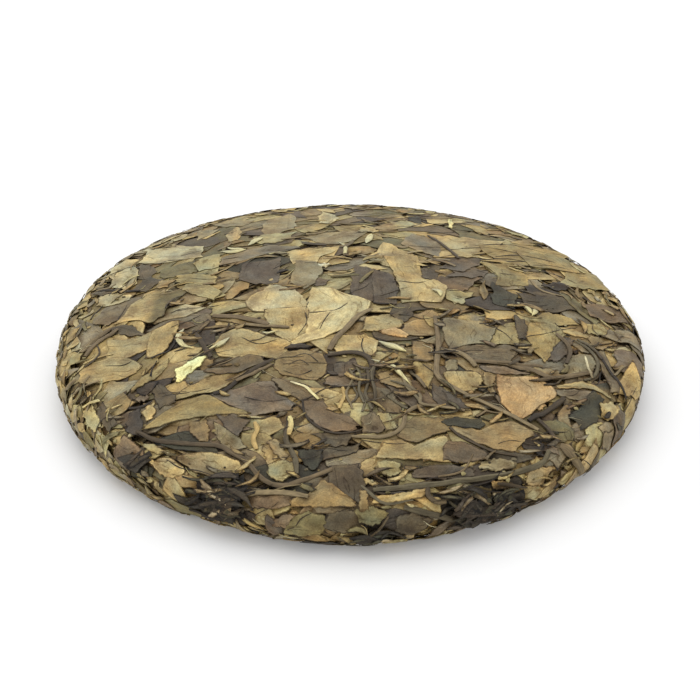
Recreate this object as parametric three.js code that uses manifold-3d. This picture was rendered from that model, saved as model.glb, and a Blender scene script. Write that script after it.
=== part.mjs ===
// A pressed cake of white tea: a round, low-domed disc with a rounded edge and a flat base.
// The leaf is steamed and pressed, so the cake is one solid. Its outermost leaves, torn leaf
// pieces and stalks are fused onto a slightly smaller core and make the uneven outline.
// Units are millimetres, +Z is up, and the cake lies on its flat base at z = 0.
import * as THREE from 'three';
import { mergeVertices } from 'three/addons/utils/BufferGeometryUtils.js';
import Module from 'manifold-3d';

// The cake as a whole.
const CAKE_RADIUS = 100;
const CAKE_HEIGHT = 27;
const RIM_RADIUS = 9.5;      // the edge is a half circle, so it is twice this high
const DOME_EDGE = 78;        // degrees above level at which the dome meets that half circle
// The outline isn't a true circle: [waves round the cake, height of the wave, its crest].
const OUTLINE_WAVES = [[1, 0.7, 90], [2, 0.6, -161], [3, 0.7, 82], [5, 0.25, -52]];

// The core under the outermost leaves.
const CORE_DEPTH = 0.9;      // how far the core lies under the pressed surface
const CORE_LUMPS = 0.3;      // how uneven the core is
const LUMP_TURNS = [5, 9];   // lumps round the core, in two crossing patterns
const LUMP_LENGTHS = [9, 5]; // how far outwards one radian of each pattern reaches
const CORE_SIDES = 40;
const DOME_RINGS = 5;
const RIM_RINGS = 5;
const BASE_INSET = 1.5;      // the flat base starts this far inside the rounded edge's foot

// One leaf: a thin wavy sheet, sunk into the core so that only its upper face and edge show.
const LARGE_STEPS = 4;       // cells along a large leaf
const FILL_STEPS = 3;        // cells along one of the leaves between them
const LEAF_RIBS = 2;         // cells across it, one each side of the midrib
const LEAF_THICKNESS = 3.5;
const LEAF_WAVE = 0.25;      // height of the waves along a leaf
const WAVE_ALONG = 7;        // radians of wave from a leaf's stem to its tip
const WAVE_ACROSS = 3;       // radians of wave from one margin to the other
const LEAF_FOLD = 0.25;      // how far the midrib stands above the margins
const LEAF_POINT = 0.18;     // width of a leaf's tip, as a part of its full width
const LEAF_FULLNESS = 0.7;   // 1 is a slender leaf, less is a broader one
const LEAF_CURVE = 0.2;      // most sideways bend of a leaf, as a part of its length
const LOWEST_LEAF = 0.25;    // no leaf comes nearer to the floor than this
const LARGE_LIFTS = [0, 0.5];      // large leaves lie in two layers over the skin
const FILL_LIFTS = [-0.45, -0.15]; // the leaves between them lie a little under it

// One stalk: a six-sided rod that follows the surface, half sunk.
const STALK_SIDES = 6;
const STALK_SPACING = 9;     // length of one step along a stalk
const STALK_RISE = 0.1;      // height of a stalk's middle over the skin, as a part of its thickness

// Places are read on the cake's skin laid out flat: x to the right, y to the back, both
// measured along the surface from the crown. Headings are in degrees, from x towards y.
// The largest leaves and torn pieces: [x, y, length, width, heading].
const LARGE_LEAVES = [
  [-6, -5, 28, 25, 40], [-22, -10, 19, 13, 70], [-25, 8, 21, 13, 10], [8, 15, 26, 17, 80],
  [21, 22, 30, 12, 100], [-17, 26, 20, 12, 75], [-32, 27, 18, 14, 60], [40, -17, 22, 17, 75],
  [40, 21, 19, 13, 10], [65, -10, 17, 15, 85], [-30, -19, 21, 14, -20], [-16, -31, 18, 18, 0],
  [-38, -33, 22, 7, 15], [-42, -41, 23, 8, 25], [-48, -54, 33, 13, 4], [-32, -50, 25, 13, -20],
  [-18, -46, 18, 9, -35], [-7, -59, 19, 13, -35], [12, -53, 14, 10, 70], [36, -40, 13, 11, 10],
  [55, -45, 24, 19, 15], [47, -67, 26, 12, -8], [22, -68, 20, 12, 5], [78, -47, 18, 10, 65],
  [65, -60, 16, 11, 50], [62, -26, 15, 10, 20], [91, -31, 19, 13, 65], [90, 8, 17, 14, 80],
  [77, 38, 23, 14, 15], [57, 45, 19, 14, 20], [42, 52, 18, 15, 30], [-35, 40, 30, 9, 22],
  [-65, 50, 23, 16, 25], [-80, 36, 19, 11, 80], [-79, 10, 18, 12, 60], [-52, 20, 18, 12, 10],
  [-70, -17, 24, 13, 8], [-82, -29, 17, 10, -20], [-61, -33, 20, 7, 55], [-41, -77, 21, 10, -18],
  [-57, -78, 15, 9, -35], [-36, -66, 15, 11, 60], [-8, -92, 19, 12, 5], [-26, -94, 20, 7, -8],
  [14, -94, 17, 7, 12], [28, -85, 25, 6, 6], [44, -95, 21, 10, 15], [57, -83, 15, 8, 30],
];
// The stalks that lie on the surface: [thickness, x, y, x, y, ...].
const STALKS = [
  [2.2, -66, -64, -50, -70, -40, -73, -32, -79, -24, -87],
  [2.2, 29, -7, 28, -22, 27, -35, 31, -44, 40, -52, 59, -63],
  [2.2, 40, -30, 51, -31, 64, -37, 72, -34, 80, -30],
  [2.4, 0, -28, 4, -29, 7, -33, 7, -42],
  [2.2, 2, -70, 11, -69, 16, -64, 18, -58, 25, -54, 34, -54, 46, -58],
  [2.6, 7, -88, 22, -87, 37, -84, 51, -81, 60, -77],
  [3.0, 65, -70, 72, -72, 79, -74],
  [2.2, -82, -4, -88, -10, -90, -18],
  [2.2, 28, 60, 33, 50, 39, 40],
  [2.2, 16, -97, 31, -100, 41, -103],
  [2.0, -89, 27, -81, 25, -73, 22],
  [2.0, -19, -61, -18, -70, -15, -84],
];

// The rest of the skin is filled by rule, ring by ring: [distance from the crown, spacing].
const FILL_RINGS = [[34, 30], [54, 30], [72, 28], [87, 27], [98, 23], [109, 24]];
const FILL_LENGTH = [13, 21];
const FILL_WIDTH = [8, 12];
const FILL_CLEARANCE = 13;   // a filling leaf keeps this far from a large leaf's middle
const FILL_SCATTER = 2.5;    // distance in or out of its ring
const FILL_SLIP = 0.25;      // distance along its ring, as a part of the spacing
const RIM_TURN = 25;         // on the edge, leaves lie along it, give or take this angle
const SEED = 7;

const RIM_CENTRE = CAKE_RADIUS - RIM_RADIUS;
const DOME_RADIUS = RIM_CENTRE + RIM_RADIUS * Math.cos(rad(DOME_EDGE));
const DOME_FOOT = RIM_RADIUS + RIM_RADIUS * Math.sin(rad(DOME_EDGE));
// This power lets the dome run into the rounded edge without a crease.
const DOME_POWER = DOME_RADIUS / Math.tan(rad(DOME_EDGE)) / (CAKE_HEIGHT - DOME_FOOT);
const SKIN_LENGTH = DOME_RADIUS + RIM_RADIUS * rad(DOME_EDGE + 90);

function rad(degrees) {
  return THREE.MathUtils.degToRad(degrees);
}

/** A repeatable stream of numbers from 0 to 1. */
function randomStream(seed) {
  let state = seed;
  return () => {
    state = (state * 48271) % 2147483647;
    return state / 2147483647;
  };
}

/** How much further out than a true circle the outline lies in this direction. */
function outlineWave(theta) {
  let sum = 0;
  for (const [count, height, crest] of OUTLINE_WAVES) {
    sum += height * Math.cos(count * theta - rad(crest));
  }
  return sum;
}

/** The cake's section: the point at this distance along the skin, moved out by lift. */
function sectionPoint(distance, lift) {
  if (distance < DOME_RADIUS) {
    const fall = (CAKE_HEIGHT - DOME_FOOT) * (distance / DOME_RADIUS) ** DOME_POWER;
    const slope = (DOME_POWER * fall) / Math.max(distance, 1);
    const steep = Math.hypot(1, slope);
    return new THREE.Vector2(
      distance + (lift * slope) / steep,
      CAKE_HEIGHT - fall + lift / steep,
    );
  }
  const angle = rad(DOME_EDGE) - (Math.min(distance, SKIN_LENGTH) - DOME_RADIUS) / RIM_RADIUS;
  const reach = RIM_RADIUS + lift;
  return new THREE.Vector2(
    RIM_CENTRE + reach * Math.cos(angle),
    RIM_RADIUS + reach * Math.sin(angle),
  );
}

/** The point of the cake's skin that lies at x, y on the skin laid out flat. */
function skinPoint(x, y, lift) {
  const theta = Math.atan2(y, x);
  const point = sectionPoint(Math.hypot(x, y), lift);
  const radius = point.x * (1 + outlineWave(theta) / CAKE_RADIUS);
  return new THREE.Vector3(radius * Math.cos(theta), radius * Math.sin(theta), point.y);
}

/** Makes a closed three.js geometry a solid that can be joined. */
function toSolid(wasm, geometry) {
  geometry.deleteAttribute('normal');
  geometry.deleteAttribute('uv');
  const merged = mergeVertices(geometry, 1e-4);
  const index = [];
  const corners = merged.index.array;
  for (let i = 0; i < corners.length; i += 3) {
    const [a, b, c] = corners.slice(i, i + 3);
    if (a !== b && b !== c && c !== a) index.push(a, b, c);
  }
  return new wasm.Manifold(new wasm.Mesh({
    numProp: 3,
    vertProperties: new Float32Array(merged.attributes.position.array),
    triVerts: new Uint32Array(index),
  }));
}

/** The core: the cake's section turned about the axis, a little smaller and lumpy. */
function coreGeometry() {
  const profile = [new THREE.Vector2(0, 0)];
  const foot = RIM_CENTRE - BASE_INSET;
  profile.push(new THREE.Vector2(foot, 0));
  for (let ring = 1; ring <= RIM_RINGS; ring += 1) {
    const distance = THREE.MathUtils.lerp(SKIN_LENGTH, DOME_RADIUS, ring / RIM_RINGS);
    profile.push(sectionPoint(distance, -CORE_DEPTH));
  }
  for (let ring = 1; ring <= DOME_RINGS; ring += 1) {
    profile.push(sectionPoint(DOME_RADIUS * (1 - ring / DOME_RINGS), -CORE_DEPTH));
  }
  const core = new THREE.LatheGeometry(profile, CORE_SIDES);
  core.rotateX(Math.PI / 2);
  const place = core.attributes.position;
  const point = new THREE.Vector3();
  for (let i = 0; i < place.count; i += 1) {
    point.fromBufferAttribute(place, i);
    const theta = Math.atan2(point.y, point.x);
    const radius = Math.hypot(point.x, point.y);
    const lump = CORE_LUMPS * Math.sin(LUMP_TURNS[0] * theta + radius / LUMP_LENGTHS[0])
      * Math.cos(LUMP_TURNS[1] * theta - radius / LUMP_LENGTHS[1]);
    const onBase = point.z < LOWEST_LEAF;
    const grow = 1 + (outlineWave(theta) + (onBase ? 0 : lump)) / CAKE_RADIUS;
    const isCrown = radius < 1;
    place.setXYZ(i, point.x * grow, point.y * grow, point.z + (onBase || isCrown ? 0 : lump));
  }
  return core;
}

/** A flat sheet of cells bent into a leaf, with an upper and a lower face split alike. */
function leafGeometry(leaf) {
  const sheet = new THREE.PlaneGeometry(1, 1, leaf.steps, LEAF_RIBS);
  const columns = leaf.steps + 1;
  const rows = LEAF_RIBS + 1;
  const count = columns * rows;
  const corners = [];
  for (const face of [0, 1]) {
    for (let i = 0; i < count; i += 1) {
      const along = sheet.attributes.position.getX(i);
      const across = sheet.attributes.position.getY(i);
      const full = Math.cos(Math.PI * along) ** LEAF_FULLNESS;
      const spread = leaf.width * (LEAF_POINT + (1 - LEAF_POINT) * full);
      const u = along * leaf.length;
      const v = across * spread + leaf.curve * leaf.length * along * along;
      const wave = LEAF_WAVE * Math.sin(leaf.phase + WAVE_ALONG * along + WAVE_ACROSS * across);
      const fold = LEAF_FOLD * (1 - 4 * Math.abs(across));
      const lift = leaf.lift + wave + fold - (face ? LEAF_THICKNESS : 0);
      const x = leaf.x + u * Math.cos(leaf.heading) - v * Math.sin(leaf.heading);
      const y = leaf.y + u * Math.sin(leaf.heading) + v * Math.cos(leaf.heading);
      const point = skinPoint(x, y, lift);
      corners.push(point.x, point.y, Math.max(point.z, LOWEST_LEAF * (1 + face)));
    }
  }
  const index = Array.from(sheet.index.array);
  const upper = index.length;
  for (let i = 0; i < upper; i += 3) {
    index.push(index[i] + count, index[i + 2] + count, index[i + 1] + count);
  }
  for (const [a, b] of borderEdges(columns, rows)) {
    index.push(a, a + count, b + count, a, b + count, b);
  }
  const leafSheet = new THREE.BufferGeometry();
  leafSheet.setAttribute('position', new THREE.Float32BufferAttribute(corners, 3));
  leafSheet.setIndex(index);
  return leafSheet;
}

/** The edges round a sheet of columns by rows points, in one turning direction. */
function borderEdges(columns, rows) {
  const loop = [];
  for (let i = 0; i < rows; i += 1) loop.push(i * columns);
  for (let i = 1; i < columns; i += 1) loop.push((rows - 1) * columns + i);
  for (let i = rows - 2; i >= 0; i -= 1) loop.push(i * columns + columns - 1);
  for (let i = columns - 2; i > 0; i -= 1) loop.push(i);
  return loop.map((a, i) => [a, loop[(i + 1) % loop.length]]);
}

/** A stalk: a six-sided section drawn along a curve on the skin. */
function stalkGeometry([thickness, ...places]) {
  const points = [];
  for (let i = 0; i < places.length; i += 2) {
    points.push(skinPoint(places[i], places[i + 1], thickness * STALK_RISE));
  }
  const path = new THREE.CatmullRomCurve3(points);
  const section = new THREE.Shape();
  for (let side = 0; side < STALK_SIDES; side += 1) {
    const angle = (side / STALK_SIDES) * 2 * Math.PI;
    const x = (Math.cos(angle) * thickness) / 2;
    const y = (Math.sin(angle) * thickness) / 2;
    if (side === 0) section.moveTo(x, y);
    else section.lineTo(x, y);
  }
  section.closePath();
  return new THREE.ExtrudeGeometry(section, {
    steps: Math.ceil(path.getLength() / STALK_SPACING),
    extrudePath: path,
    bevelEnabled: false,
  });
}

/** All the leaves: the large ones where they lie, and the fill between them. */
function layOutLeaves() {
  const random = randomStream(SEED);
  const between = ([low, high]) => low + (high - low) * random();
  const give = (most) => most * (2 * random() - 1);
  const leaves = LARGE_LEAVES.map(([x, y, length, width, heading], i) => ({
    x, y, length, width, heading: rad(heading), lift: LARGE_LIFTS[i % 2], steps: LARGE_STEPS,
    curve: give(LEAF_CURVE), phase: give(Math.PI),
  }));
  for (const [distance, spacing] of FILL_RINGS) {
    const count = Math.round((2 * Math.PI * Math.min(distance, CAKE_RADIUS)) / spacing);
    for (let i = 0; i < count; i += 1) {
      const theta = ((i + give(FILL_SLIP)) / count) * 2 * Math.PI;
      const out = distance + give(FILL_SCATTER);
      const onRim = distance > DOME_RADIUS;
      const along = theta + Math.PI / 2 + rad(give(RIM_TURN));
      const leaf = {
        x: out * Math.cos(theta), y: out * Math.sin(theta),
        length: between(FILL_LENGTH), width: between(FILL_WIDTH),
        heading: onRim ? along : give(Math.PI), lift: FILL_LIFTS[i % 2], steps: FILL_STEPS,
        curve: give(LEAF_CURVE), phase: give(Math.PI),
      };
      const isClear = leaves.slice(0, LARGE_LEAVES.length).every((other) => (
        Math.hypot(other.x - leaf.x, other.y - leaf.y) > FILL_CLEARANCE));
      if (isClear) leaves.push(leaf);
    }
  }
  return leaves;
}

const wasm = await Module();
wasm.setup();

let cake = toSolid(wasm, coreGeometry());
for (const leaf of layOutLeaves()) cake = cake.add(toSolid(wasm, leafGeometry(leaf)));
for (const stalk of STALKS) cake = cake.add(toSolid(wasm, stalkGeometry(stalk)));

// Joining may seal a small hollow or leave a loose scrap: the largest shell is the cake.
cake = cake.decompose().reduce((best, shell) => (shell.volume() > best.volume() ? shell : best));

const joined = cake.getMesh();
const geometry = new THREE.BufferGeometry();
geometry.setAttribute('position', new THREE.Float32BufferAttribute(joined.vertProperties, 3));
geometry.setIndex(Array.from(joined.triVerts));
geometry.computeBoundingBox();
const middle = geometry.boundingBox.getCenter(new THREE.Vector3());
geometry.translate(-middle.x, -middle.y, 0);
geometry.computeVertexNormals();

const material = new THREE.MeshStandardMaterial({ color: 0x8a7850, roughness: 0.75, metalness: 0 });
const teaCake = new THREE.Mesh(geometry, material);
teaCake.name = 'tea_cake';

const group = new THREE.Group();
group.add(teaCake);

export default group;
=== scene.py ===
# %% [markdown]
# # A pressed cake of white tea
# White tea leaves are picked, dried, steamed and pressed in a mould into a flat round cake. What
# shows is the outermost leaves: broad torn leaves in tan, brown and slate, thin twisted stalks,
# silvery buds, and crumbs and hairs in the gaps. This lesson builds each of them as a real thing
# and then presses them all together, in the order in which the press does it.

# %% The frame
import math

import bmesh
import bpy
import numpy as np
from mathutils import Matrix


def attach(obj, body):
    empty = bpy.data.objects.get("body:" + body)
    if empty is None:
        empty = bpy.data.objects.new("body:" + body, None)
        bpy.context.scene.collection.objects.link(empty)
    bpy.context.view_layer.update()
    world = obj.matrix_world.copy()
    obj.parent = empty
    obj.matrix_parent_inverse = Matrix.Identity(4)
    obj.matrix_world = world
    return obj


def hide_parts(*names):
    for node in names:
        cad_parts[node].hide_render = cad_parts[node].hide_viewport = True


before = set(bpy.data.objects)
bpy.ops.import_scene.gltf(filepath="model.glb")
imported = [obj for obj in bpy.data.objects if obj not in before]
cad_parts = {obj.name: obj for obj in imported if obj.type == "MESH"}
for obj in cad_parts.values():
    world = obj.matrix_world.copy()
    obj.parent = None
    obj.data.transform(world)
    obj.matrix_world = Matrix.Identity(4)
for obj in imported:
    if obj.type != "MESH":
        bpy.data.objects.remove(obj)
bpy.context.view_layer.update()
MM = 0.001

# %% [markdown]
# ## The skin of the cake
# The mould gives the cake a smooth form: a low dome that runs into a half-round edge and a flat
# base. Leaves could be placed straight in space, but each one bends with that form. It is easier
# to lay them out on a flat map of the skin, with x to the right and y to the back, both measured
# along the surface from the crown, and to wrap the map round the cake at the end.

# %% The section of the mould
CAKE_RADIUS = 100.0
CAKE_HEIGHT = 27.0
RIM_RADIUS = 9.5       # the edge is a half circle
DOME_EDGE = 78.0       # degrees above level at which the dome meets the edge
OUTLINE_WAVES = [(1, 0.7, 90), (2, 0.6, -161), (3, 0.7, 82), (5, 0.25, -52)]
FLOOR_GAP = 0.12       # the lowest leaf ends this far above the ground
FLOOR_SOFTNESS = 0.22  # how gently leaves under the edge are flattened against the ground

RIM_CENTRE = CAKE_RADIUS - RIM_RADIUS
DOME_RADIUS = RIM_CENTRE + RIM_RADIUS * math.cos(math.radians(DOME_EDGE))
DOME_FOOT = RIM_RADIUS * (1 + math.sin(math.radians(DOME_EDGE)))
DOME_POWER = DOME_RADIUS / math.tan(math.radians(DOME_EDGE)) / (CAKE_HEIGHT - DOME_FOOT)
SKIN_LENGTH = DOME_RADIUS + RIM_RADIUS * math.radians(DOME_EDGE + 90)
print("from the crown over the edge to the ground:", round(SKIN_LENGTH, 1), "mm")


def outline_wave(theta):
    """How much further out than a true circle the outline lies in this direction."""
    return sum(high * np.cos(count * theta - math.radians(crest))
               for count, high, crest in OUTLINE_WAVES)


def section(distance, lift):
    """Radius and height of the skin this far from the crown, moved out by lift."""
    on_dome = distance < DOME_RADIUS
    under = np.maximum(distance - SKIN_LENGTH, 0)
    fall = (CAKE_HEIGHT - DOME_FOOT) * np.minimum(distance / DOME_RADIUS, 1) ** DOME_POWER
    slope = DOME_POWER * fall / np.maximum(distance, 1)
    steep = np.hypot(1, slope)
    turn = np.minimum(distance, SKIN_LENGTH) - DOME_RADIUS
    angle = math.radians(DOME_EDGE) - turn / RIM_RADIUS
    radius = np.where(on_dome, distance + lift * slope / steep,
                      RIM_CENTRE + (RIM_RADIUS + lift) * np.cos(angle) - under)
    height = np.where(on_dome, CAKE_HEIGHT - fall + lift / steep,
                      RIM_RADIUS + (RIM_RADIUS + lift) * np.sin(angle))
    return radius, height


def above_ground(height):
    """Flattens what would reach under the ground against it, in its own order."""
    depth = (height - FLOOR_GAP) / FLOOR_SOFTNESS
    return FLOOR_GAP + FLOOR_SOFTNESS * np.logaddexp(0, depth)


def skin_point(x, y, lift):
    """Points in space, in metres, of points on the flat map."""
    theta = np.arctan2(y, x)
    radius, height = section(np.hypot(x, y), lift)
    radius = radius * (1 + outline_wave(theta) / CAKE_RADIUS)
    place = np.stack([radius * np.cos(theta), radius * np.sin(theta), above_ground(height)], -1)
    return (place - OUTLINE_MIDDLE) * MM


round_cake = np.linspace(0, 2 * math.pi, 721)
outline = (CAKE_RADIUS + outline_wave(round_cake)) * np.array([np.cos(round_cake), np.sin(round_cake)])
OUTLINE_MIDDLE = np.append((outline.min(1) + outline.max(1)) / 2, 0)
print("the outline's middle is moved to the origin from", OUTLINE_MIDDLE.round(2), "mm")

# %% [markdown]
# ## The press
# In the mould, leaves lie over each other in layers. A physics simulation of thousands of thin
# sheets would take hours. A grid of heights over the flat map does the same in seconds: each new
# piece reads how high the pile is under it, lies on top, and raises the grid. At the end the press
# takes away the slow rise and fall of the pile, and keeps the steps from leaf to leaf.

# %% The bed that leaves are laid on
CELL = 0.5             # side of one cell of the grid of heights
PRESS_REACH = 6.0      # the press levels what is wider than about this
SHADE_REACH = 1.4      # a spot lower than its surroundings within this reach is in shade
PRESSED_LIFT = -0.5    # how far the pressed pile's middle height lies over the skin
SQUEEZE = (0.68, 0.28) # the share of its height that a step keeps, at the middle and at the back
BACK_HALF = (0, 70)    # from here to here towards the back, the cake is pressed flatter
HIGHEST = 0.9          # the press squeezes what would stand out further than about this
OPEN_LIGHT = 1.06      # the light on a spot that is level with its surroundings
LIGHT_LOSS = 0.6       # how much light it loses for each millimetre that it lies lower
DIMMEST = 0.25         # the least light that reaches any spot


def blurred(field, reach):
    """The field smoothed over this reach, in millimetres, by way of its frequencies."""
    waves = np.fft.fftfreq(len(field), CELL)
    keep = np.exp(-2 * (math.pi * waves * reach) ** 2)
    return np.fft.ifft2(np.fft.fft2(field) * keep[:, None] * keep[None, :]).real


def lowest(field, reach):
    """The lowest value of the field within this reach of each cell."""
    cells = round(reach / CELL)
    for axis in (0, 1):
        field = np.min([np.roll(field, step, axis) for step in range(-cells, cells + 1)], 0)
    return field


class Bed:
    """A pile of leaves on the flat map, and how it lies in space."""

    def __init__(self, reach, wrap):
        self.reach = reach
        self.wrap = wrap
        self.field = np.zeros((int(2 * reach / CELL) + 1,) * 2)

    def read(self, field, x, y):
        """The field's value between its cells."""
        last = len(field) - 1.001
        column = np.clip((x + self.reach) / CELL, 0, last)
        row = np.clip((y + self.reach) / CELL, 0, last)
        i, j = row.astype(int), column.astype(int)
        p, q = row - i, column - j
        return ((field[i, j] * (1 - q) + field[i, j + 1] * q) * (1 - p)
                + (field[i + 1, j] * (1 - q) + field[i + 1, j + 1] * q) * p)

    def top(self, x, y, reach=0.6):
        """The highest point of the pile within reach of each place."""
        around = [(0, 0), (reach, 0), (-reach, 0), (0, reach), (0, -reach)]
        return np.max([self.read(self.field, x + dx, y + dy) for dx, dy in around], 0)

    def cover(self, x, y, lift):
        """Raises the pile to these heights."""
        last = len(self.field) - 1
        column = np.clip(np.rint((x + self.reach) / CELL), 0, last).astype(int)
        row = np.clip(np.rint((y + self.reach) / CELL), 0, last).astype(int)
        np.maximum.at(self.field, (row.ravel(), column.ravel()), lift.ravel())

    def close(self):
        """Closes the press: works out the level to take away and where shade falls."""
        self.level = blurred(self.field, PRESS_REACH)
        self.around = blurred(self.field, SHADE_REACH)
        print("the pile is", round(self.level.max(), 1), "mm thick at most,",
              round(float(np.median(self.level)), 1), "mm in the middle")

    def pressed(self, x, y, lift):
        """The height over the skin after pressing."""
        free = np.interp(y, BACK_HALF, SQUEEZE) * (lift - self.read(self.level, x, y))
        return PRESSED_LIFT + np.where(free > 0, HIGHEST * np.tanh(free / HIGHEST), free)

    def daylight(self, x, y, lift):
        """1 where a spot lies in the open, less where it lies deep between others."""
        depth = self.read(self.around, x, y) - lift
        return np.clip(OPEN_LIGHT - LIGHT_LOSS * depth, DIMMEST, 1.0)


skin_bed = Bed(SKIN_LENGTH + 6, skin_point)

# %% [markdown]
# The underside is flat and nobody has photographed it. The same leaves were pressed there, so it
# gets a bed of its own: a round map of the base, turned over so that its leaves face down.

# %% The bed under the cake
BASE_HEIGHT = 0.2      # the height over the ground at which the base's leaves lie


def base_point(x, y, lift):
    """Points in space of points on the map of the base."""
    theta = np.arctan2(-y, x)
    radius = np.hypot(x, y) * (1 + outline_wave(theta) / CAKE_RADIUS)
    height = above_ground(BASE_HEIGHT - lift)
    return (np.stack([radius * np.cos(theta), radius * np.sin(theta), height], -1) - OUTLINE_MIDDLE) * MM


base_bed = Bed(RIM_CENTRE + 16, base_point)

# %% [markdown]
# ## Blanks
# Every leaf starts from the same blank, as every biscuit starts from the same dough: a grid that
# is cut into triangles and then given its thickness, so both faces are split alike and the wall
# closes it. Thousands of leaves are then bent copies of a few blanks, which is quicker than
# running the operators for each. A blank knows the row and column of each of its points, so that
# a copy can be draped as a sheet.

# %% A leaf blank
class Blank:
    """A closed unit shape as arrays, which a bent copy takes its points and faces from."""

    def __init__(self, shape):
        bmesh.ops.recalc_face_normals(shape, faces=shape.faces[:])
        bmesh.ops.triangulate(shape, faces=[f for f in shape.faces if len(f.verts) > 3])
        shape.verts.index_update()
        self.points = np.array([v.co[:] for v in shape.verts])
        self.faces = np.array([[v.index for v in f.verts] for f in shape.faces])
        shape.free()


def leaf_blank(steps, ribs):
    """A flat leaf of steps by ribs cells: a unit long, a unit wide, and two faces thick."""
    sheet = bmesh.new()
    bmesh.ops.create_grid(sheet, x_segments=steps, y_segments=ribs, size=0.5)
    bmesh.ops.triangulate(sheet, faces=sheet.faces[:], quad_method="ALTERNATE")
    bmesh.ops.solidify(sheet, geom=sheet.faces[:], thickness=1.0)
    blank = Blank(sheet)
    along, across, height = blank.points.T
    middle = (height.min() + height.max()) / 2
    blank.under = height < middle
    blank.column = np.rint((along + 0.5) * steps).astype(int)
    blank.row = np.rint((across + 0.5) * ribs).astype(int)
    blank.wall = np.ptp(blank.under[blank.faces].astype(int), axis=1) > 0
    blank.steps, blank.ribs = steps, ribs
    return blank


LARGE_BLANK = leaf_blank(18, 9)
TORN_BLANK = leaf_blank(9, 4)
STRIP_BLANK = leaf_blank(8, 2)
SCRAP_BLANK = leaf_blank(4, 2)
print("triangles of a large leaf, a torn leaf, a strip and a scrap:",
      [len(blank.faces) for blank in (LARGE_BLANK, TORN_BLANK, STRIP_BLANK, SCRAP_BLANK)])

# %% [markdown]
# A stalk is a rod, a bud is a spindle and a hair is a fine rod. A cone with equal ends and loops
# cut round it serves for all of them: the copy then sets how thick it is at each loop.

# %% Rod and crumb blanks
def rod_blank(sides, steps):
    """A rod a unit long and a unit in radius, with steps stretches and closed ends."""
    rod = bmesh.new()
    bmesh.ops.create_cone(rod, cap_ends=True, segments=sides, radius1=1, radius2=1, depth=1)
    long_edges = [e for e in rod.edges if abs(e.verts[0].co.z - e.verts[1].co.z) > 0.5]
    bmesh.ops.subdivide_edges(rod, edges=long_edges, cuts=steps - 1)
    blank = Blank(rod)
    blank.ring = np.rint((blank.points[:, 2] + 0.5) * steps).astype(int)
    blank.steps, blank.sides = steps, sides
    return blank


def crumb_blank():
    """A round lump of twenty faces."""
    lump = bmesh.new()
    bmesh.ops.create_icosphere(lump, subdivisions=1, radius=1)
    return Blank(lump)


STALK_BLANK = rod_blank(8, 26)
TWIG_BLANK = rod_blank(6, 9)
BUD_BLANK = rod_blank(8, 12)
HAIR_BLANK = rod_blank(3, 5)
CRUMB_BLANK = crumb_blank()
print("triangles of a stalk, a twig, a bud, a hair and a crumb:",
      [len(b.faces) for b in (STALK_BLANK, TWIG_BLANK, BUD_BLANK, HAIR_BLANK, CRUMB_BLANK)])

# %% [markdown]
# ## Colours
# White tea isn't dyed or roasted: its colours are those of dried leaves, from straw and tan over
# rust and brown to slate and near black. Each has a plain name here and its value as seen in soft
# daylight. A piece's own colour goes into its mesh as an attribute, so one material can paint
# thousands of leaves.

# %% The leaf colours
COLOURS = {
    "straw": (208, 196, 137), "tan": (179, 160, 112), "sand": (179, 167, 127),
    "bone": (210, 201, 163), "fawn": (169, 149, 102), "rust": (182, 151, 104),
    "rose": (167, 149, 105), "ochre": (152, 134, 89), "hazel": (146, 126, 88),
    "husk": (131, 112, 76), "khaki": (160, 148, 105),
    "olive": (111, 102, 71), "lichen": (138, 126, 95), "walnut": (115, 101, 76),
    "russet": (113, 96, 73), "umber": (91, 81, 63), "plum": (99, 88, 72),
    "mauve": (119, 105, 85), "ash": (130, 119, 95), "slate": (71, 63, 53),
    "ink": (70, 67, 53), "soot": (60, 55, 47), "silver": (192, 188, 152),
    "cream": (234, 224, 154), "wheat": (210, 190, 135), "gold": (178, 152, 98),
}
BRIGHT_STAGE = 1.45    # the stage's light is this much stronger than what shows a colour as it is
GLOSS_VEIL = 0.009     # a leaf's gloss adds this much white to its colour
BLACKEST = 0.002       # no tint is darker than this


def tint_of(colour):
    """What to paint with, so that the colour shows on a screen as given."""
    part = np.array(colour) / 255
    seen = np.where(part < 0.04045, part / 12.92, ((part + 0.055) / 1.055) ** 2.4)
    return np.maximum(seen / BRIGHT_STAGE - GLOSS_VEIL, BLACKEST)


TINTS = {name: tint_of(colour) for name, colour in COLOURS.items()}
print(len(TINTS), "leaf colours")

# %% [markdown]
# ## Piles
# A pile collects the bent copies of one kind and becomes one mesh. Its points stay on the flat map
# until the press closes, and only then are wrapped round the cake. Each point carries a tint, a
# share of daylight and its distance from the leaf's margin, and each corner a place on the leaf in
# millimetres, which veins follow.

# %% Collecting pieces into one mesh
INSIDE = 5.0           # the margin distance of what has no margin
SHARP_EDGE = 35        # faces that meet at more degrees than this show an edge


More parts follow.
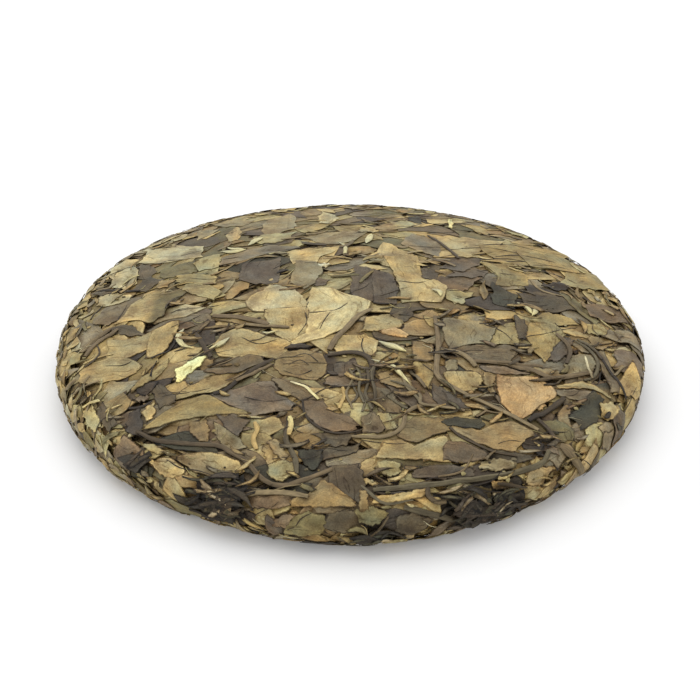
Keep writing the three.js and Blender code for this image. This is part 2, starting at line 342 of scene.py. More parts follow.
class Pile:
    """Bent copies of a blank that become one piece."""

    def __init__(self, name):
        self.name = name
        self.copies = []

    def add(self, bed, blank, flat, place, tint, shade, margin=None, finish=None):
        """One copy: its points as x, y, lift, its places on the leaf, its colours and shade."""
        if margin is None:
            margin = np.full(len(flat), INSIDE)
        if finish is None:
            finish = np.zeros(len(blank.faces), int)
        self.copies.append((bed, blank.faces, flat, place, tint, shade, margin, finish))

    def arrays(self):
        """Everything in the pile as joined arrays, with its points in space."""
        beds, faces, flat, *rest = zip(*self.copies)
        sizes = [len(part) for part in flat]
        start = np.cumsum([0] + sizes[:-1])
        faces = np.concatenate([part + first for part, first in zip(faces, start)])
        flat, place, tint, shade, margin, finish = [np.concatenate(part) for part in (flat, *rest)]
        points = np.empty(flat.shape)
        for bed in set(beds):
            mine = np.repeat([owner is bed for owner in beds], sizes)
            x, y, lift = flat[mine].T
            points[mine] = bed.wrap(x, y, bed.pressed(x, y, lift))
            shade[mine] *= bed.daylight(x, y, lift)
        return faces, points, shade, place, tint, margin, finish


def mesh_piece(name, arrays, materials):
    """One mesh object from a pile's arrays."""
    faces, points, shade, place, tint, margin, finish = arrays
    mesh = bpy.data.meshes.new(name)
    mesh.vertices.add(len(points))
    mesh.vertices.foreach_set("co", points.astype(np.float32).ravel())
    mesh.loops.add(faces.size)
    mesh.loops.foreach_set("vertex_index", faces.astype(np.int32).ravel())
    mesh.polygons.add(len(faces))
    mesh.polygons.foreach_set("loop_start", np.arange(0, faces.size, 3, dtype=np.int32))
    mesh.polygons.foreach_set("material_index", finish.astype(np.int32))
    mesh.update(calc_edges=True)
    corners = place[faces.ravel()].astype(np.float32)
    mesh.uv_layers.new(name="Leaf").data.foreach_set("uv", corners.ravel())
    colour = np.column_stack([tint, np.ones(len(tint))]).astype(np.float32)
    mesh.attributes.new("Tint", "FLOAT_COLOR", "POINT").data.foreach_set("color", colour.ravel())
    for label, values in (("Shade", shade), ("Margin", margin)):
        mesh.attributes.new(label, "FLOAT", "POINT").data.foreach_set("value", values.astype(np.float32))
    mesh.polygons.foreach_set("use_smooth", np.ones(len(faces), bool))
    mesh.set_sharp_from_angle(angle=math.radians(SHARP_EDGE))
    for material in materials:
        mesh.materials.append(material)
    piece = bpy.data.objects.new(name, mesh)
    bpy.context.scene.collection.objects.link(piece)
    print(f"{name}: {len(faces)} triangles")
    return piece

# %% [markdown]
# ## How a leaf is cut, bent and laid
# A pressed leaf is rarely whole: it is cut by tears with straight runs and corners, and its ends
# are ragged. So what is needed first is uneven lines and sheets. All their random numbers come
# from one seeded source, so that the cake is the same each time it is made.

# %% Uneven lines and sheets
random = np.random.default_rng(20)


def spread(low, high, *shape):
    """Random numbers between low and high."""
    return random.uniform(low, high, shape or None)


def jagged(count, knots, high):
    """A line of count values with corners, no further than high from zero."""
    return np.interp(np.linspace(0, 1, count), np.linspace(0, 1, knots), spread(-high, high, knots))


def ripples(a, c, pace):
    """Three random waves added up over a leaf, between -1 and 1."""
    return sum(np.sin(spread(0, 6.3) + spread(-pace, pace) * a + spread(-pace, pace) * c)
               for _ in range(3)) / 3


def softened(grid):
    """Each value replaced by the middle of its neighbours'."""
    wide = np.pad(grid, 1, mode="edge")
    lines = (wide[:-2] + 2 * wide[1:-1] + wide[2:]) / 4
    return (lines[:, :-2] + 2 * lines[:, 1:-1] + lines[:, 2:]) / 4


def refined(grid, fold):
    """The grid with each cell split into fold by fold cells."""
    for _ in range(2):
        last = len(grid) - 1
        at = np.linspace(0, last, last * fold + 1)
        low = np.minimum(at.astype(int), last - 1)
        part = (at - low)[:, None]
        grid = (grid[low] * (1 - part) + grid[low + 1] * part).T
    return grid


def smooth_line(knots, count):
    """Values at even steps along a smooth curve through the knots."""
    knots = np.array(knots, float)
    ends = np.concatenate([[2 * knots[0] - knots[1]], knots, [2 * knots[-1] - knots[-2]]])
    at = np.linspace(0, len(knots) - 1, count)
    low = np.minimum(at.astype(int), len(knots) - 2)
    t = (at - low).reshape(-1, *[1] * (knots.ndim - 1))
    a, b, c, d = (ends[low + k] for k in range(4))
    return (b + (c - a) / 2 * t + (a - 2.5 * b + 2 * c - d / 2) * t ** 2
            + (-a / 2 + 1.5 * b - 1.5 * c + d / 2) * t ** 3)


def path_length(points):
    """How far along a line of points each of them lies."""
    return np.append(0, np.cumsum(np.hypot(*np.diff(points, axis=0).T)))


# %% [markdown]
# A leaf is cut as a strip along a line, with its width given at a few stations. Its sides run
# straight or rounded from station to station, tears take bites out of them, and the ends slant.

# %% Cutting a leaf by its widths
FRAY = 0.09            # how much a margin frays
SLANT = 0.7            # how much the ends of a leaf slant
END_TEARS = 1.3        # tears at the ends are this much deeper than at the sides
ROUNDING = (-0.2, 0.1) # how much the corners at its ends are rounded off
ROUNDED_SHARE = 0.12   # this share of leaves has rounded sides, the others have straight tears
LEAST_WIDTH = 0.3      # a leaf is given no narrower than this
LEAST_HALF = 0.12      # and a tear leaves at least this on each side of its middle line


def torn_end(across, tear, widest, corner):
    """How far each point of a leaf's end lies out of a straight line across it."""
    return (jagged(len(across), 4, END_TEARS * tear) + spread(-SLANT, SLANT) * widest * across
            + FRAY * spread(-1, 1, len(across)) + spread(*ROUNDING) * corner * np.abs(across) ** 3)


def cut_leaf(blank, length, widths, bend, tear):
    """The leaf's grid laid flat: places along and across it, and how far in from its margin."""
    along = np.linspace(-0.5, 0.5, blank.steps + 1)
    across = np.linspace(-1, 1, blank.ribs + 1)
    if spread(0, 1) < ROUNDED_SHARE:
        width = smooth_line(widths, len(along))
    else:
        width = np.interp(along, np.linspace(-0.5, 0.5, len(widths)), widths)
    half = np.maximum(width, LEAST_WIDTH) / 2
    knots = max(3, blank.steps // 2)
    margins = [half + jagged(len(along), knots, tear) + FRAY * spread(-1, 1, len(along)) for _ in range(2)]
    side = np.maximum(np.where(across < 0, margins[0][:, None], margins[1][:, None]), LEAST_HALF)
    ends = [torn_end(across, tear, half.max(), corner) for corner in (half[0], -half[-1])]
    end = np.where(along[:, None] < 0, *ends) * (2 * np.abs(along[:, None])) ** 2
    bow = bend * length * (0.25 - along[:, None] ** 2) * 4
    inside = np.minimum(side * (1 - np.abs(across)), (0.5 - np.abs(along[:, None])) * length)
    return along[:, None] * length + end, side * across + bow, inside


# %% [markdown]
# The largest leaves have outlines of their own. Each is cut between its two margins: both are
# split into as many even steps as the blank has, and the rows of the blank run across from one to
# the other.

# %% Cutting a leaf between two margins
RAGGED = 0.28          # how much the margins are nibbled
END_RAGS = 3           # the ends are this much more ragged
NARROWEST = 0.7        # the leaf is no narrower than this at its tips


def nibbled(corners, steps):
    """Even steps along a margin that is given by its corners, each moved a little."""
    corners = np.array(corners, float)
    gone = path_length(corners)
    at = np.linspace(0, gone[-1], steps + 1)
    side = np.stack([np.interp(at, gone, corners[:, k]) for k in (0, 1)], 1)
    return side + RAGGED * spread(-1, 1, steps + 1, 2)


def trace_leaf(blank, one_side, other_side):
    """A leaf between two margins: its places on the bed and on itself, and its margin distance."""
    sides = [nibbled(one_side, blank.steps), nibbled(other_side, blank.steps)]
    middle = (sides[0] + sides[1]) / 2
    gap = sides[1] - sides[0]
    ahead = middle[-1] - middle[0]
    half_way = blank.steps // 2
    if ahead[0] * gap[half_way, 1] < ahead[1] * gap[half_way, 0]:  # else its upper face lies down
        sides.reverse()
        gap = -gap
    width = np.hypot(*gap.T)[:, None]
    across = gap[half_way] / width[half_way]
    missing = np.maximum(NARROWEST - width, 0)
    sides = [sides[0] - across * missing / 2, sides[1] + across * missing / 2]
    share = np.linspace(0, 1, blank.ribs + 1)[None, :]
    x, y = (sides[0][:, k, None] * (1 - share) + sides[1][:, k, None] * share for k in (0, 1))
    a = np.linspace(-1, 1, blank.steps + 1)[:, None]
    rags = [jagged(blank.ribs + 1, 6, END_RAGS * RAGGED) for _ in range(2)]
    ragged = np.where(a < 0, *rags) * a ** 8
    run = ahead / np.hypot(*ahead)
    gone = path_length(middle)[:, None]
    u = gone + ragged
    v = np.maximum(width, NARROWEST) * (share - 0.5)
    inside = np.minimum(np.maximum(width, NARROWEST) / 2 - np.abs(v), np.minimum(u, gone[-1] - u))
    return x + ragged * run[0], y + ragged * run[1], (u, v), inside


# %% [markdown]
# A leaf that is laid on the pile stays stiff: it rests on the high spots and bridges the low ones,
# and it keeps its folds. Smoothing its heights a few times, and never letting them sink into the
# pile, does that. Its colour changes along it too, from one tint to another and up and down.

# %% Draping a leaf
LEAF_THICKNESS = 0.28
STIFFNESS = 5          # rounds of smoothing: with more of them a leaf bridges wider gaps
FOLDS = 4
FOLD_AWAY = 0.6        # how far from its middle a leaf may be folded
FINE_STEP = 0.4        # a leaf raises the pile at places this close together
PATCH = 40             # each leaf reads one of these many patches of the patterns, this far apart
RIB_AWAY = 0.6         # how far from its middle a leaf's rib may lie, as a share of its width
UNDER_SHADE = 0.5      # the light on the lower face of a leaf
HUE_TURN = 2.5         # how suddenly a leaf's first colour turns into its second
TONE_WANDER = 0.24     # how much lighter and darker a leaf gets along its face
HUE_WANDER = np.array([0.10, 0.0, -0.16])  # and how much redder and greyer
PALER_TEAR_SHADE = 0.8       # the dark tears, partly painted shade, are less dark on the far side and far left, as if this much further in
FAR_SIDE = 60          # tears are at their palest from here to the back
FAR_LEFT = (-90, -70)  # and get paler from the second to the first of these to the left


def sheet_axes(blank):
    """From -1 at one end of a sheet to 1 at the other, and the same across it."""
    return np.linspace(-1, 1, blank.steps + 1)[:, None], np.linspace(-1, 1, blank.ribs + 1)[None, :]


def rested(bed, blank, x, y, slack, relief, keel):
    """The heights of a stiff sheet that rests on the pile, with its folds and its raised middle."""
    ground = bed.top(x, y) + LEAF_THICKNESS + slack
    lift = ground
    for _ in range(STIFFNESS):
        lift = np.maximum(ground, softened(lift))
    a, c = sheet_axes(blank)
    folds = sum(spread(-1, 1) * np.abs(a * math.cos(turn) + c * math.sin(turn)
                                       - spread(-FOLD_AWAY, FOLD_AWAY))
                for turn in spread(0, math.pi, FOLDS))
    crumple = softened(spread(-1, 1, *x.shape))
    return lift + relief * (ripples(a, c, 4) + folds - folds.mean() + crumple) + keel * (1 - np.abs(c))


def mottled(blank, tints):
    """The colours of a sheet, from the first tint to the last along it."""
    a, c = sheet_axes(blank)
    turn = np.clip((a + spread(-0.5, 0.5) * c) * HUE_TURN + 0.5, 0, 1)[..., None]
    colour = tints[0] * (1 - turn) + tints[-1] * turn
    colour = colour * (1 + TONE_WANDER * ripples(a, c, 4))[..., None]
    return colour * (1 + ripples(a, c, 3)[..., None] * HUE_WANDER)


def drape(bed, pile, blank, x, y, own, inside, tints, slack, relief, keel=0.0):
    """Drapes a cut leaf over the bed and adds it to the pile."""
    u, v = own
    lift = rested(bed, blank, x, y, slack, relief, keel)
    cell = max(np.abs(np.diff(u, axis=0)).max(), np.abs(np.diff(v, axis=1)).max())
    fine = max(1, math.ceil(cell / FINE_STEP))
    bed.cover(refined(x, fine), refined(y, fine), refined(lift, fine))

    at = (blank.column, blank.row)
    down = np.where(blank.under, LEAF_THICKNESS, 0)
    flat = np.stack([x[at], y[at], lift[at] - down], 1)
    rib_away = spread(-RIB_AWAY, RIB_AWAY) * np.ptp(v)
    place = np.stack([u[at] + PATCH * random.integers(1, PATCH), v[at] + rib_away], 1)
    colour = mottled(blank, tints)[at]
    soft = np.maximum(y[at] / FAR_SIDE, (FAR_LEFT[1] - x[at]) / (FAR_LEFT[1] - FAR_LEFT[0]))
    margin = inside[at] + PALER_TEAR_SHADE * np.clip(soft, 0, 1)
    shade = np.where(blank.under, UNDER_SHADE, 1.0)
    pile.add(bed, blank, flat, place, colour, shade, margin, blank.wall.astype(int))


def lay_leaf(bed, pile, blank, line, widths, tints, bend=0.0, tear=0.4, slack=0.1, relief=0.2,
             keel=0.0):
    """Cuts a leaf and drapes it along a line on the bed."""
    x0, y0, x1, y1 = line
    length = math.hypot(x1 - x0, y1 - y0)
    ahead = np.array([x1 - x0, y1 - y0]) / length
    u, v, inside = cut_leaf(blank, length, widths, bend, tear)
    x = (x0 + x1) / 2 + u * ahead[0] - v * ahead[1]
    y = (y0 + y1) / 2 + u * ahead[1] + v * ahead[0]
    drape(bed, pile, blank, x, y, (u, v), inside, tints, slack, relief, keel)


# %% [markdown]
# ## Scraps and torn leaves under the surface
# Below the broad leaves lies a litter of scraps. They show in every gap, and on the left edge of
# this cake they are all that shows. Its colours aren't the same everywhere: the far side is more
# olive, the left edge paler, and a few patches on the near edge are charred.

# %% Where each colour lies
# A spot is a place on the flat map and its reach. A mix says how often each colour is drawn.
CHARRED = [(-44, -91, 6), (-37, -95, 7), (39, -95, 8), (50, -92, 5), (8, -108, 4), (-66, -74, 3)]
DARK_PATCHES = [(x, y, reach + 2) for x, y, reach in CHARRED]
DARK_PATCHES += [(52, 12, 7), (67, 12, 8), (89, -50, 7), (-33, 29, 10)]
EVERYWHERE = {"ochre": 4, "fawn": 4.5, "hazel": 4, "husk": 3.5, "walnut": 3.5, "umber": 2.5,
              "plum": 2, "ash": 3, "slate": 1.5, "ink": 0.5, "olive": 2.5, "khaki": 4, "tan": 3.5,
              "sand": 2, "rust": 0.3, "soot": 0.4, "russet": 1.5}
PALE_EDGE = {"lichen": 5, "ash": 4, "sand": 4, "khaki": 5, "olive": 2, "walnut": 1.5, "umber": 0.3,
             "bone": 0.7, "tan": 4, "fawn": 4, "husk": 2}
BACK = {"khaki": 5, "ochre": 4, "lichen": 3, "hazel": 4, "walnut": 2, "umber": 1.2, "ash": 2,
        "fawn": 2, "tan": 1, "olive": 4, "husk": 2, "plum": 1}
DARK = {"soot": 6, "ink": 3, "slate": 2, "umber": 1, "ash": 0.8}
BACK_BEGINS = 8        # what lies further back than this has the colours of the back
PALE_BEGINS = 88       # the pale edge begins this far from the crown
PALE_TURN = 125        # and this many degrees round from the right
EDGE_BEGINS = 87       # from here the skin turns down over the edge
EDGE_WIDTH = 14
EDGE_PAINTED_LIGHT = 0.55      # painted light: leaves on the near edge are painted this much lighter than those on top, against the shade there
NEAR_SIDE = 70         # the painted light on the near edge is strongest this far to the front
PALEST = 0.34          # no small piece reflects more than this, except buds


def within(spots, x, y):
    """Whether a place lies within the reach of one of the spots."""
    return any(math.hypot(x - px, y - py) < reach for px, py, reach in spots)


def mix_at(x, y):
    """Which colours a small piece may have at this place, and how often it has each."""
    if within(DARK_PATCHES, x, y):
        return DARK
    if math.hypot(x, y) > PALE_BEGINS and abs(math.degrees(math.atan2(y, x))) > PALE_TURN:
        return PALE_EDGE
    return BACK if y > BACK_BEGINS else EVERYWHERE


def edge_light(x, y):
    """Painted light: how much lighter a piece at this place is painted on the near edge, which lies in
    shade.
    """
    outward = np.clip((math.hypot(x, y) - EDGE_BEGINS) / EDGE_WIDTH, 0, 1)
    return 1 + EDGE_PAINTED_LIGHT * outward * np.clip(-y / NEAR_SIDE, 0, 1)


def litter_tint(x, y, lightest=1.22, darkest=0.94):
    """A colour drawn from those of this place, a little lighter or darker than its name."""
    mix = mix_at(x, y)
    weights = np.array(list(mix.values()))
    name = list(mix)[random.choice(len(mix), p=weights / weights.sum())]
    tint = TINTS[name] * spread(darkest, lightest) * edge_light(x, y)
    return tint * min(1, PALEST / tint.max())


# %% [markdown]
# Small pieces are spread by rule: rings round the crown, an even spacing along each ring, and a
# random nudge, so the litter is as even as the pressed one. A few dark hollows stay free of all of
# it, and the middles of the finest leaves stay free of what falls in last. Steam and press have
# turned neighbours the same way: a handful of places give the direction of that grain, and a place
# between them takes the mean.

# %% Where small pieces lie, and which way
# Hollows and bare spots are places with a reach, the grain is places with a direction in degrees.
HOLLOWS = [(26.5, -91.5, 3.0), (14, -25, 4.0), (78, -16, 2.5), (69, -68.5, 2.8), (-55, -64.5, 3.4),
           (-66, -74, 1.8), (30.5, 43.5, 1.8), (-67, 30, 2.0), (-46, -66, 1.5)]
BARE = [(57, -47, 12), (-5, -5, 12), (-30, -51, 9), (-50, -55, 8), (-66, -17, 8), (18, -75, 7),
        (-22, 5, 9), (-33, -22, 7), (-43, -43, 6), (22, -64, 5), (45, -67, 6), (-72, -28, 6)]
GRAIN = [(-70, -35, 50), (-45, -75, -20), (-15, -98, 0), (30, -90, 15), (60, -70, 30), (85, -35, 60),
         (30, -40, -35), (0, -10, 45), (-30, -50, 10), (50, 0, 5), (-60, 30, 20), (-20, 50, 20),
         (0, 80, 0), (55, 50, -20), (88, 15, -70), (-95, 0, 85), (-75, 65, 40)]
GRAIN_REACH = 10       # closer than about this, one of those places gives the direction alone


def grain_at(x, y):
    """The way in which the long pieces near this place lie, in radians."""
    sine = cosine = 0
    for grain_x, grain_y, degrees in GRAIN:
        pull = 1 / ((x - grain_x) ** 2 + (y - grain_y) ** 2 + GRAIN_REACH ** 2)
        sine += pull * math.sin(math.radians(2 * degrees))
        cosine += pull * math.cos(math.radians(2 * degrees))
    return math.atan2(sine, cosine) / 2


def even_places(spacing, outermost, wander=0.45):
    """Places at about this spacing all over the skin."""
    places = []
    for ring in np.arange(spacing / 2, outermost, spacing):
        radius = float(section(np.float64(ring), 0.0)[0])
        count = max(3, round(2 * math.pi * radius / spacing))
        turn = spread(0, 6.3)
        for k in range(count):
            theta = turn + (k + spread(-wander, wander)) * 2 * math.pi / count
            out = ring + spread(-wander, wander) * spacing
            places.append((out * math.cos(theta), out * math.sin(theta)))
    return places


def line_at(x, y, length, heading):
    """The two ends of a line with its middle at this place."""
    dx, dy = math.cos(heading) * length / 2, math.sin(heading) * length / 2
    return x - dx, y - dy, x + dx, y + dy


# %% [markdown]
# Torn bits lie every way within about 40 degrees of the grain, and on the edge of the cake along
# the edge, where the mould's wall has turned them. A leaf that is folded lengthwise makes a strip:
# it is narrow, curved and a little raised along its middle.

# %% Laying scraps, torn leaves and strips
EDGE_TURNS = 97        # from here out, leaves lie along the edge
TWO_TINTS = 0.2        # this share of leaves changes its colour along its length
ASTRAY = 0.7           # how far from the grain or the edge a leaf may turn, in radians
LEAF_SHARES = ((0.2, 1), (0.8, 1), (0.7, 1), (0.2, 1))  # widths from end to end, of the full width


def scatter_leaves(bed, pile, blank, places, lengths, shares, slack, tear):
    """Random leaves: their lengths and width shares lie between the two values given."""
    for x, y in places:
        if within(HOLLOWS, x, y):
            continue
        length = spread(*lengths)
        width = length * spread(*shares)
        along = math.atan2(y, x) + math.pi / 2 if math.hypot(x, y) > EDGE_TURNS else grain_at(x, y)
        heading = along + spread(-ASTRAY, ASTRAY)
        widths = width * np.array([spread(*share) for share in LEAF_SHARES])
        first = litter_tint(x, y)
        second = litter_tint(x, y) if spread(0, 1) < TWO_TINTS else first
        lay_leaf(bed, pile, blank, line_at(x, y, length, heading), widths, (first, second),
                 bend=spread(-0.12, 0.12), tear=tear, slack=spread(*slack))


def lay_strips(bed, pile, places, lengths, thickest, astray=0.3):
    """Leaves folded lengthwise: long, narrow, curved and along the grain."""
    for x, y in places:
        length, heading = spread(*lengths), grain_at(x, y) + spread(-astray, astray)
        width = spread(0.35, 1) * thickest
        tint = litter_tint(x, y, 1.3, 0.85)
        widths = width * np.array([spread(0.1, 0.5), 0.9, 1, spread(0.7, 0.9), spread(0.1, 0.4)])
        lay_leaf(bed, pile, STRIP_BLANK, line_at(x, y, length, heading), widths, (tint,),
                 bend=spread(-0.16, 0.16), tear=0.25, slack=spread(0, 0.1),
                 relief=0.15, keel=width * spread(0.05, 0.25))


# %% [markdown]
# The litter goes down in layers, first all over and then closer on the edge: there the broad
# leaves are few, and the light would find its way under them. The left and the far edge get the
# finest bits. The base is laid in the same way, on its own bed.

# %% The litter
EDGE = 96              # the edge of the cake is what lies further than this from the crown
LEFT_EDGE = (91, -60)  # its left side: further out than the first, and further left than the second
FAR_EDGE = (86, 15)    # its far side: further out than the first, and further back than the second


def edge_places(spacing, outermost, distance):
    """Even places that lie further than this distance from the crown."""
    return [(x, y) for x, y in even_places(spacing, outermost) if math.hypot(x, y) > distance]


scraps = Pile("scraps")
torn_leaves = Pile("torn_leaves")
strips = Pile("strips")
scatter_leaves(skin_bed, scraps, SCRAP_BLANK, even_places(6.2, 122), lengths=(6, 12), shares=(0.3, 0.7),
               slack=(0, 0.2), tear=0.5)
scatter_leaves(skin_bed, scraps, SCRAP_BLANK, even_places(9.0, 121), lengths=(5, 11),
               shares=(0.25, 0.6), slack=(0, 0.2), tear=0.5)
lay_strips(skin_bed, strips, even_places(12.5, 120), lengths=(8, 22), thickest=3.2, astray=0.6)
scatter_leaves(skin_bed, torn_leaves, TORN_BLANK, even_places(9.5, 121), lengths=(12, 23),
               shares=(0.4, 0.75), slack=(0, 0.15), tear=0.9)
scatter_leaves(skin_bed, scraps, SCRAP_BLANK, edge_places(5.6, 121, EDGE), lengths=(3, 11),
               shares=(0.3, 0.6), slack=(0, 0.2), tear=0.4)
scatter_leaves(skin_bed, torn_leaves, TORN_BLANK, edge_places(8.5, 121, EDGE), lengths=(7, 17),
               shares=(0.35, 0.75), slack=(0, 0.15), tear=0.8)
left_places = [(x, y) for x, y in edge_places(4.2, 116, LEFT_EDGE[0]) if x < LEFT_EDGE[1]]
scatter_leaves(skin_bed, scraps, SCRAP_BLANK, left_places, lengths=(2.5, 7), shares=(0.35, 0.8),
               slack=(0, 0.15), tear=0.35)
far_places = [(x, y) for x, y in edge_places(4.8, 100, FAR_EDGE[0]) if y > FAR_EDGE[1]]
scatter_leaves(skin_bed, scraps, SCRAP_BLANK, far_places, lengths=(3, 8), shares=(0.3, 0.7),
               slack=(0, 0.2), tear=0.4)

scatter_leaves(base_bed, scraps, SCRAP_BLANK, even_places(8.0, 90), lengths=(7, 13), shares=(0.3, 0.7),
               slack=(0, 0.2), tear=0.5)
lay_strips(base_bed, strips, even_places(16, 88), lengths=(8, 22), thickest=3.2, astray=0.6)
scatter_leaves(base_bed, torn_leaves, TORN_BLANK, even_places(10.5, 88), lengths=(12, 23),
               shares=(0.4, 0.75), slack=(0, 0.15), tear=0.9)
print(len(scraps.copies), "scraps,", len(torn_leaves.copies), "torn leaves and", len(strips.copies),
      "strips")

# %% [markdown]
# ## The broad leaves
# What the eye reads first are the broad leaves of the top layer, so each of them lies where it
# lies on the real cake. A row gives the two ends of the leaf's middle line on the flat map, its
# widths from one end to the other, and its colour, or two colours where it changes along its
# length. The rows run from the lowest leaf to the highest.

# %% The broad leaves, front left
FRONT_LEFT = [
    (-80.5, -5, -69, -8, (2, 5, 2), "umber"), (-46.5, -6, -46.5, -20.5, (4, 5, 4), "slate"),
    (-44.5, -7, -37.5, -7, (4, 5, 3.5), "tan"), (-45, -3, -23, -8, (1.5, 5, 4, 1), "husk"),
    (-68, -42, -63, -42, (5, 6, 5), "slate"), (-67.5, -51.5, -66.5, -64, (3.5, 5, 3), "slate"),
    (-63, -50, -62.5, -58, (2, 3.5, 2), "tan"), (-68, -46.5, -64, -46.5, (1.5, 2, 1.5), "mauve"),
    (-47, -96.5, -29, -100, (4, 5, 3), "slate"), (-22, -90, -11, -90, (3, 4, 2), "ink"),
    (-25, -73, -22.5, -81, (3, 4, 3), "fawn"), (-23.5, -71, -19, -79, (3, 3, 3), "hazel"),
    (-1, -82, 1, -95, (7, 11, 7), "umber"), (-10, -78.5, 3, -73.5, (2, 5, 2), "umber"),
    (-8.5, -70, 0.5, -70, (4, 6, 4), "umber"),
]

# %% The broad leaves, front right
FRONT_RIGHT = [
    (18, -1, 18, -8, (5, 6, 4), "umber"), (52.5, -20, 53, -29, (4, 5, 3), "umber"),
    (46, -8, 45.5, -19, (2, 3, 2), "hazel"), (57, -2, 57, -15, (3, 4, 3), "umber"),
    (69, -6, 80, -8, (3, 4, 2), "fawn"), (75, -16, 81, -16, (4, 5, 4), "ash"),
    (88, -19, 100, -22, (9, 12, 8), "mauve"), (97, -24, 87, -39, (12, 8, 3), "fawn"),
    (82, -16, 86, -39.6, (4, 4, 3), "walnut"), (80, -11, 88, -11, (6, 8, 6), "hazel"),
    (80, -3, 87, -4, (5, 6, 4), "khaki"), (87, -4, 101, -5, (7, 9, 6), "ash"),
    (43, -34.5, 58, -35, (2.5, 3.5, 2), "mauve"), (58, -33, 70, -33, (3, 4, 3), "hazel"),
    (66, -45, 78.5, -45, (8, 10, 8), "walnut"), (70, -50.6, 65, -62, (2.5, 3, 2), "olive"),
    (86, -46, 93, -55, (6, 8, 5), "plum"), (58, -51, 62, -51, (2, 3, 1.5), "rust"),
    (50, -62.5, 59, -63.5, (3, 4, 3), "walnut"), (56.5, -65, 57, -73, (4, 6, 4), "slate"),
    (60, -71, 64.5, -71.5, (2.5, 3, 2), "russet"), (39, -74.5, 56, -75.5, (2.5, 4, 2), "umber"),
    (4.4, -87.6, 8.4, -87.6, (1.5, 2, 1.5), "tan"), (8, -91.5, 22, -90.8, (1, 1.5, 1), "slate"),
]

# %% The broad leaves, back left
BACK_LEFT = [
    (-85, 1, -74, 17, (6, 9, 5), "walnut"), (-89, 23, -83, 25, (3, 4, 3), "umber"),
    (-83, 33, -77, 48, (6, 8, 5), "sand"), (-72, 30, -71.5, 42, (5, 6.5, 5), "umber"),
    (-75, 26, -66, 26, (6, 8, 5), "umber"), (-73, 53, -60, 56, (6, 9, 5), "sand"),
    (-66, 32, -52, 35, (6, 9, 6), "olive"), (-49, 32, -49, 42.6, (6, 8, 6), "khaki"),
    (-21, 38, -8.4, 40, (9, 12, 7), "tan"), (-10.5, 31.5, -7.5, 31.5, (2, 3, 2), "bone"),
    (-14.7, 18.5, -7, 18.5, (4, 5, 4), "plum"), (-57, 18, -44, 19, (7, 9, 6), "ochre"),
    (-75, 8, -60, 10, (13, 18, 11), "fawn", "olive"), (-67, 23, -61.6, 25, (3, 4, 2), "hazel"),
    (-26, 61, -26, 79, (9, 12, 8), "lichen"), (-34, 55, -21, 57, (7, 9, 6), "khaki"),
    (-49, 73, -36, 75, (4, 7, 4), "lichen"), (-55, 62, -50, 69, (4, 6, 4), "lichen"),
    (-41.5, 55, -41, 68.5, (3, 4.5, 3), "rose"), (-9, 70, -8, 82.5, (4, 7, 4), "sand"),
]

# %% The broad leaves, back right
BACK_RIGHT = [
    (4, 3, 5, 30, (7, 8, 6), "plum"), (16, 31.5, 16.5, 48, (9, 11, 7), "rose"),
    (30, 19, 43, 20, (8, 13, 8), "russet"), (36, 28, 48, 28, (6, 9, 6), "plum"),
    (34, 36, 45.5, 36, (8, 12, 8), "plum"), (52, 5, 52.5, 19, (6, 8, 6), "ink"),
    (58.8, 11, 75, 12, (8, 11, 7), "umber"), (46, 9, 46, 21.6, (1.5, 2.4, 1.5), "husk"),
    (33, 9.5, 40.6, 9.5, (8, 8, 7), "khaki"), (31, 49, 50, 51, (14, 18, 12), "rose"),
    (50, 45, 77, 47, (13, 18, 12), "ochre"), (75.6, 34, 91, 35, (12, 15, 9), "ochre"),
    (46, 38, 53, 25, (1, 1.6, 1), "khaki"), (67, 25, 76, 26, (3, 5, 3), "slate"),
    (74, 19, 84, 1, (3, 4, 3), "olive"), (63, 1, 75, 1, (5, 7, 5), "ochre"),
    (3.5, 62, 10, 63, (4, 5, 3), "rose"), (24.5, 72, 24.5, 79, (4, 5, 4), "ink"),
    (37, 68.5, 37.4, 77.6, (1, 1.6, 1), "straw"),
]

# %% [markdown]
# The largest leaves are known by their outlines, not only by their size. Each of those is given by
# its two margins, point by point from one end to the other, with straight tears between the
# points. They lie on top of the others, again from the lowest to the highest.

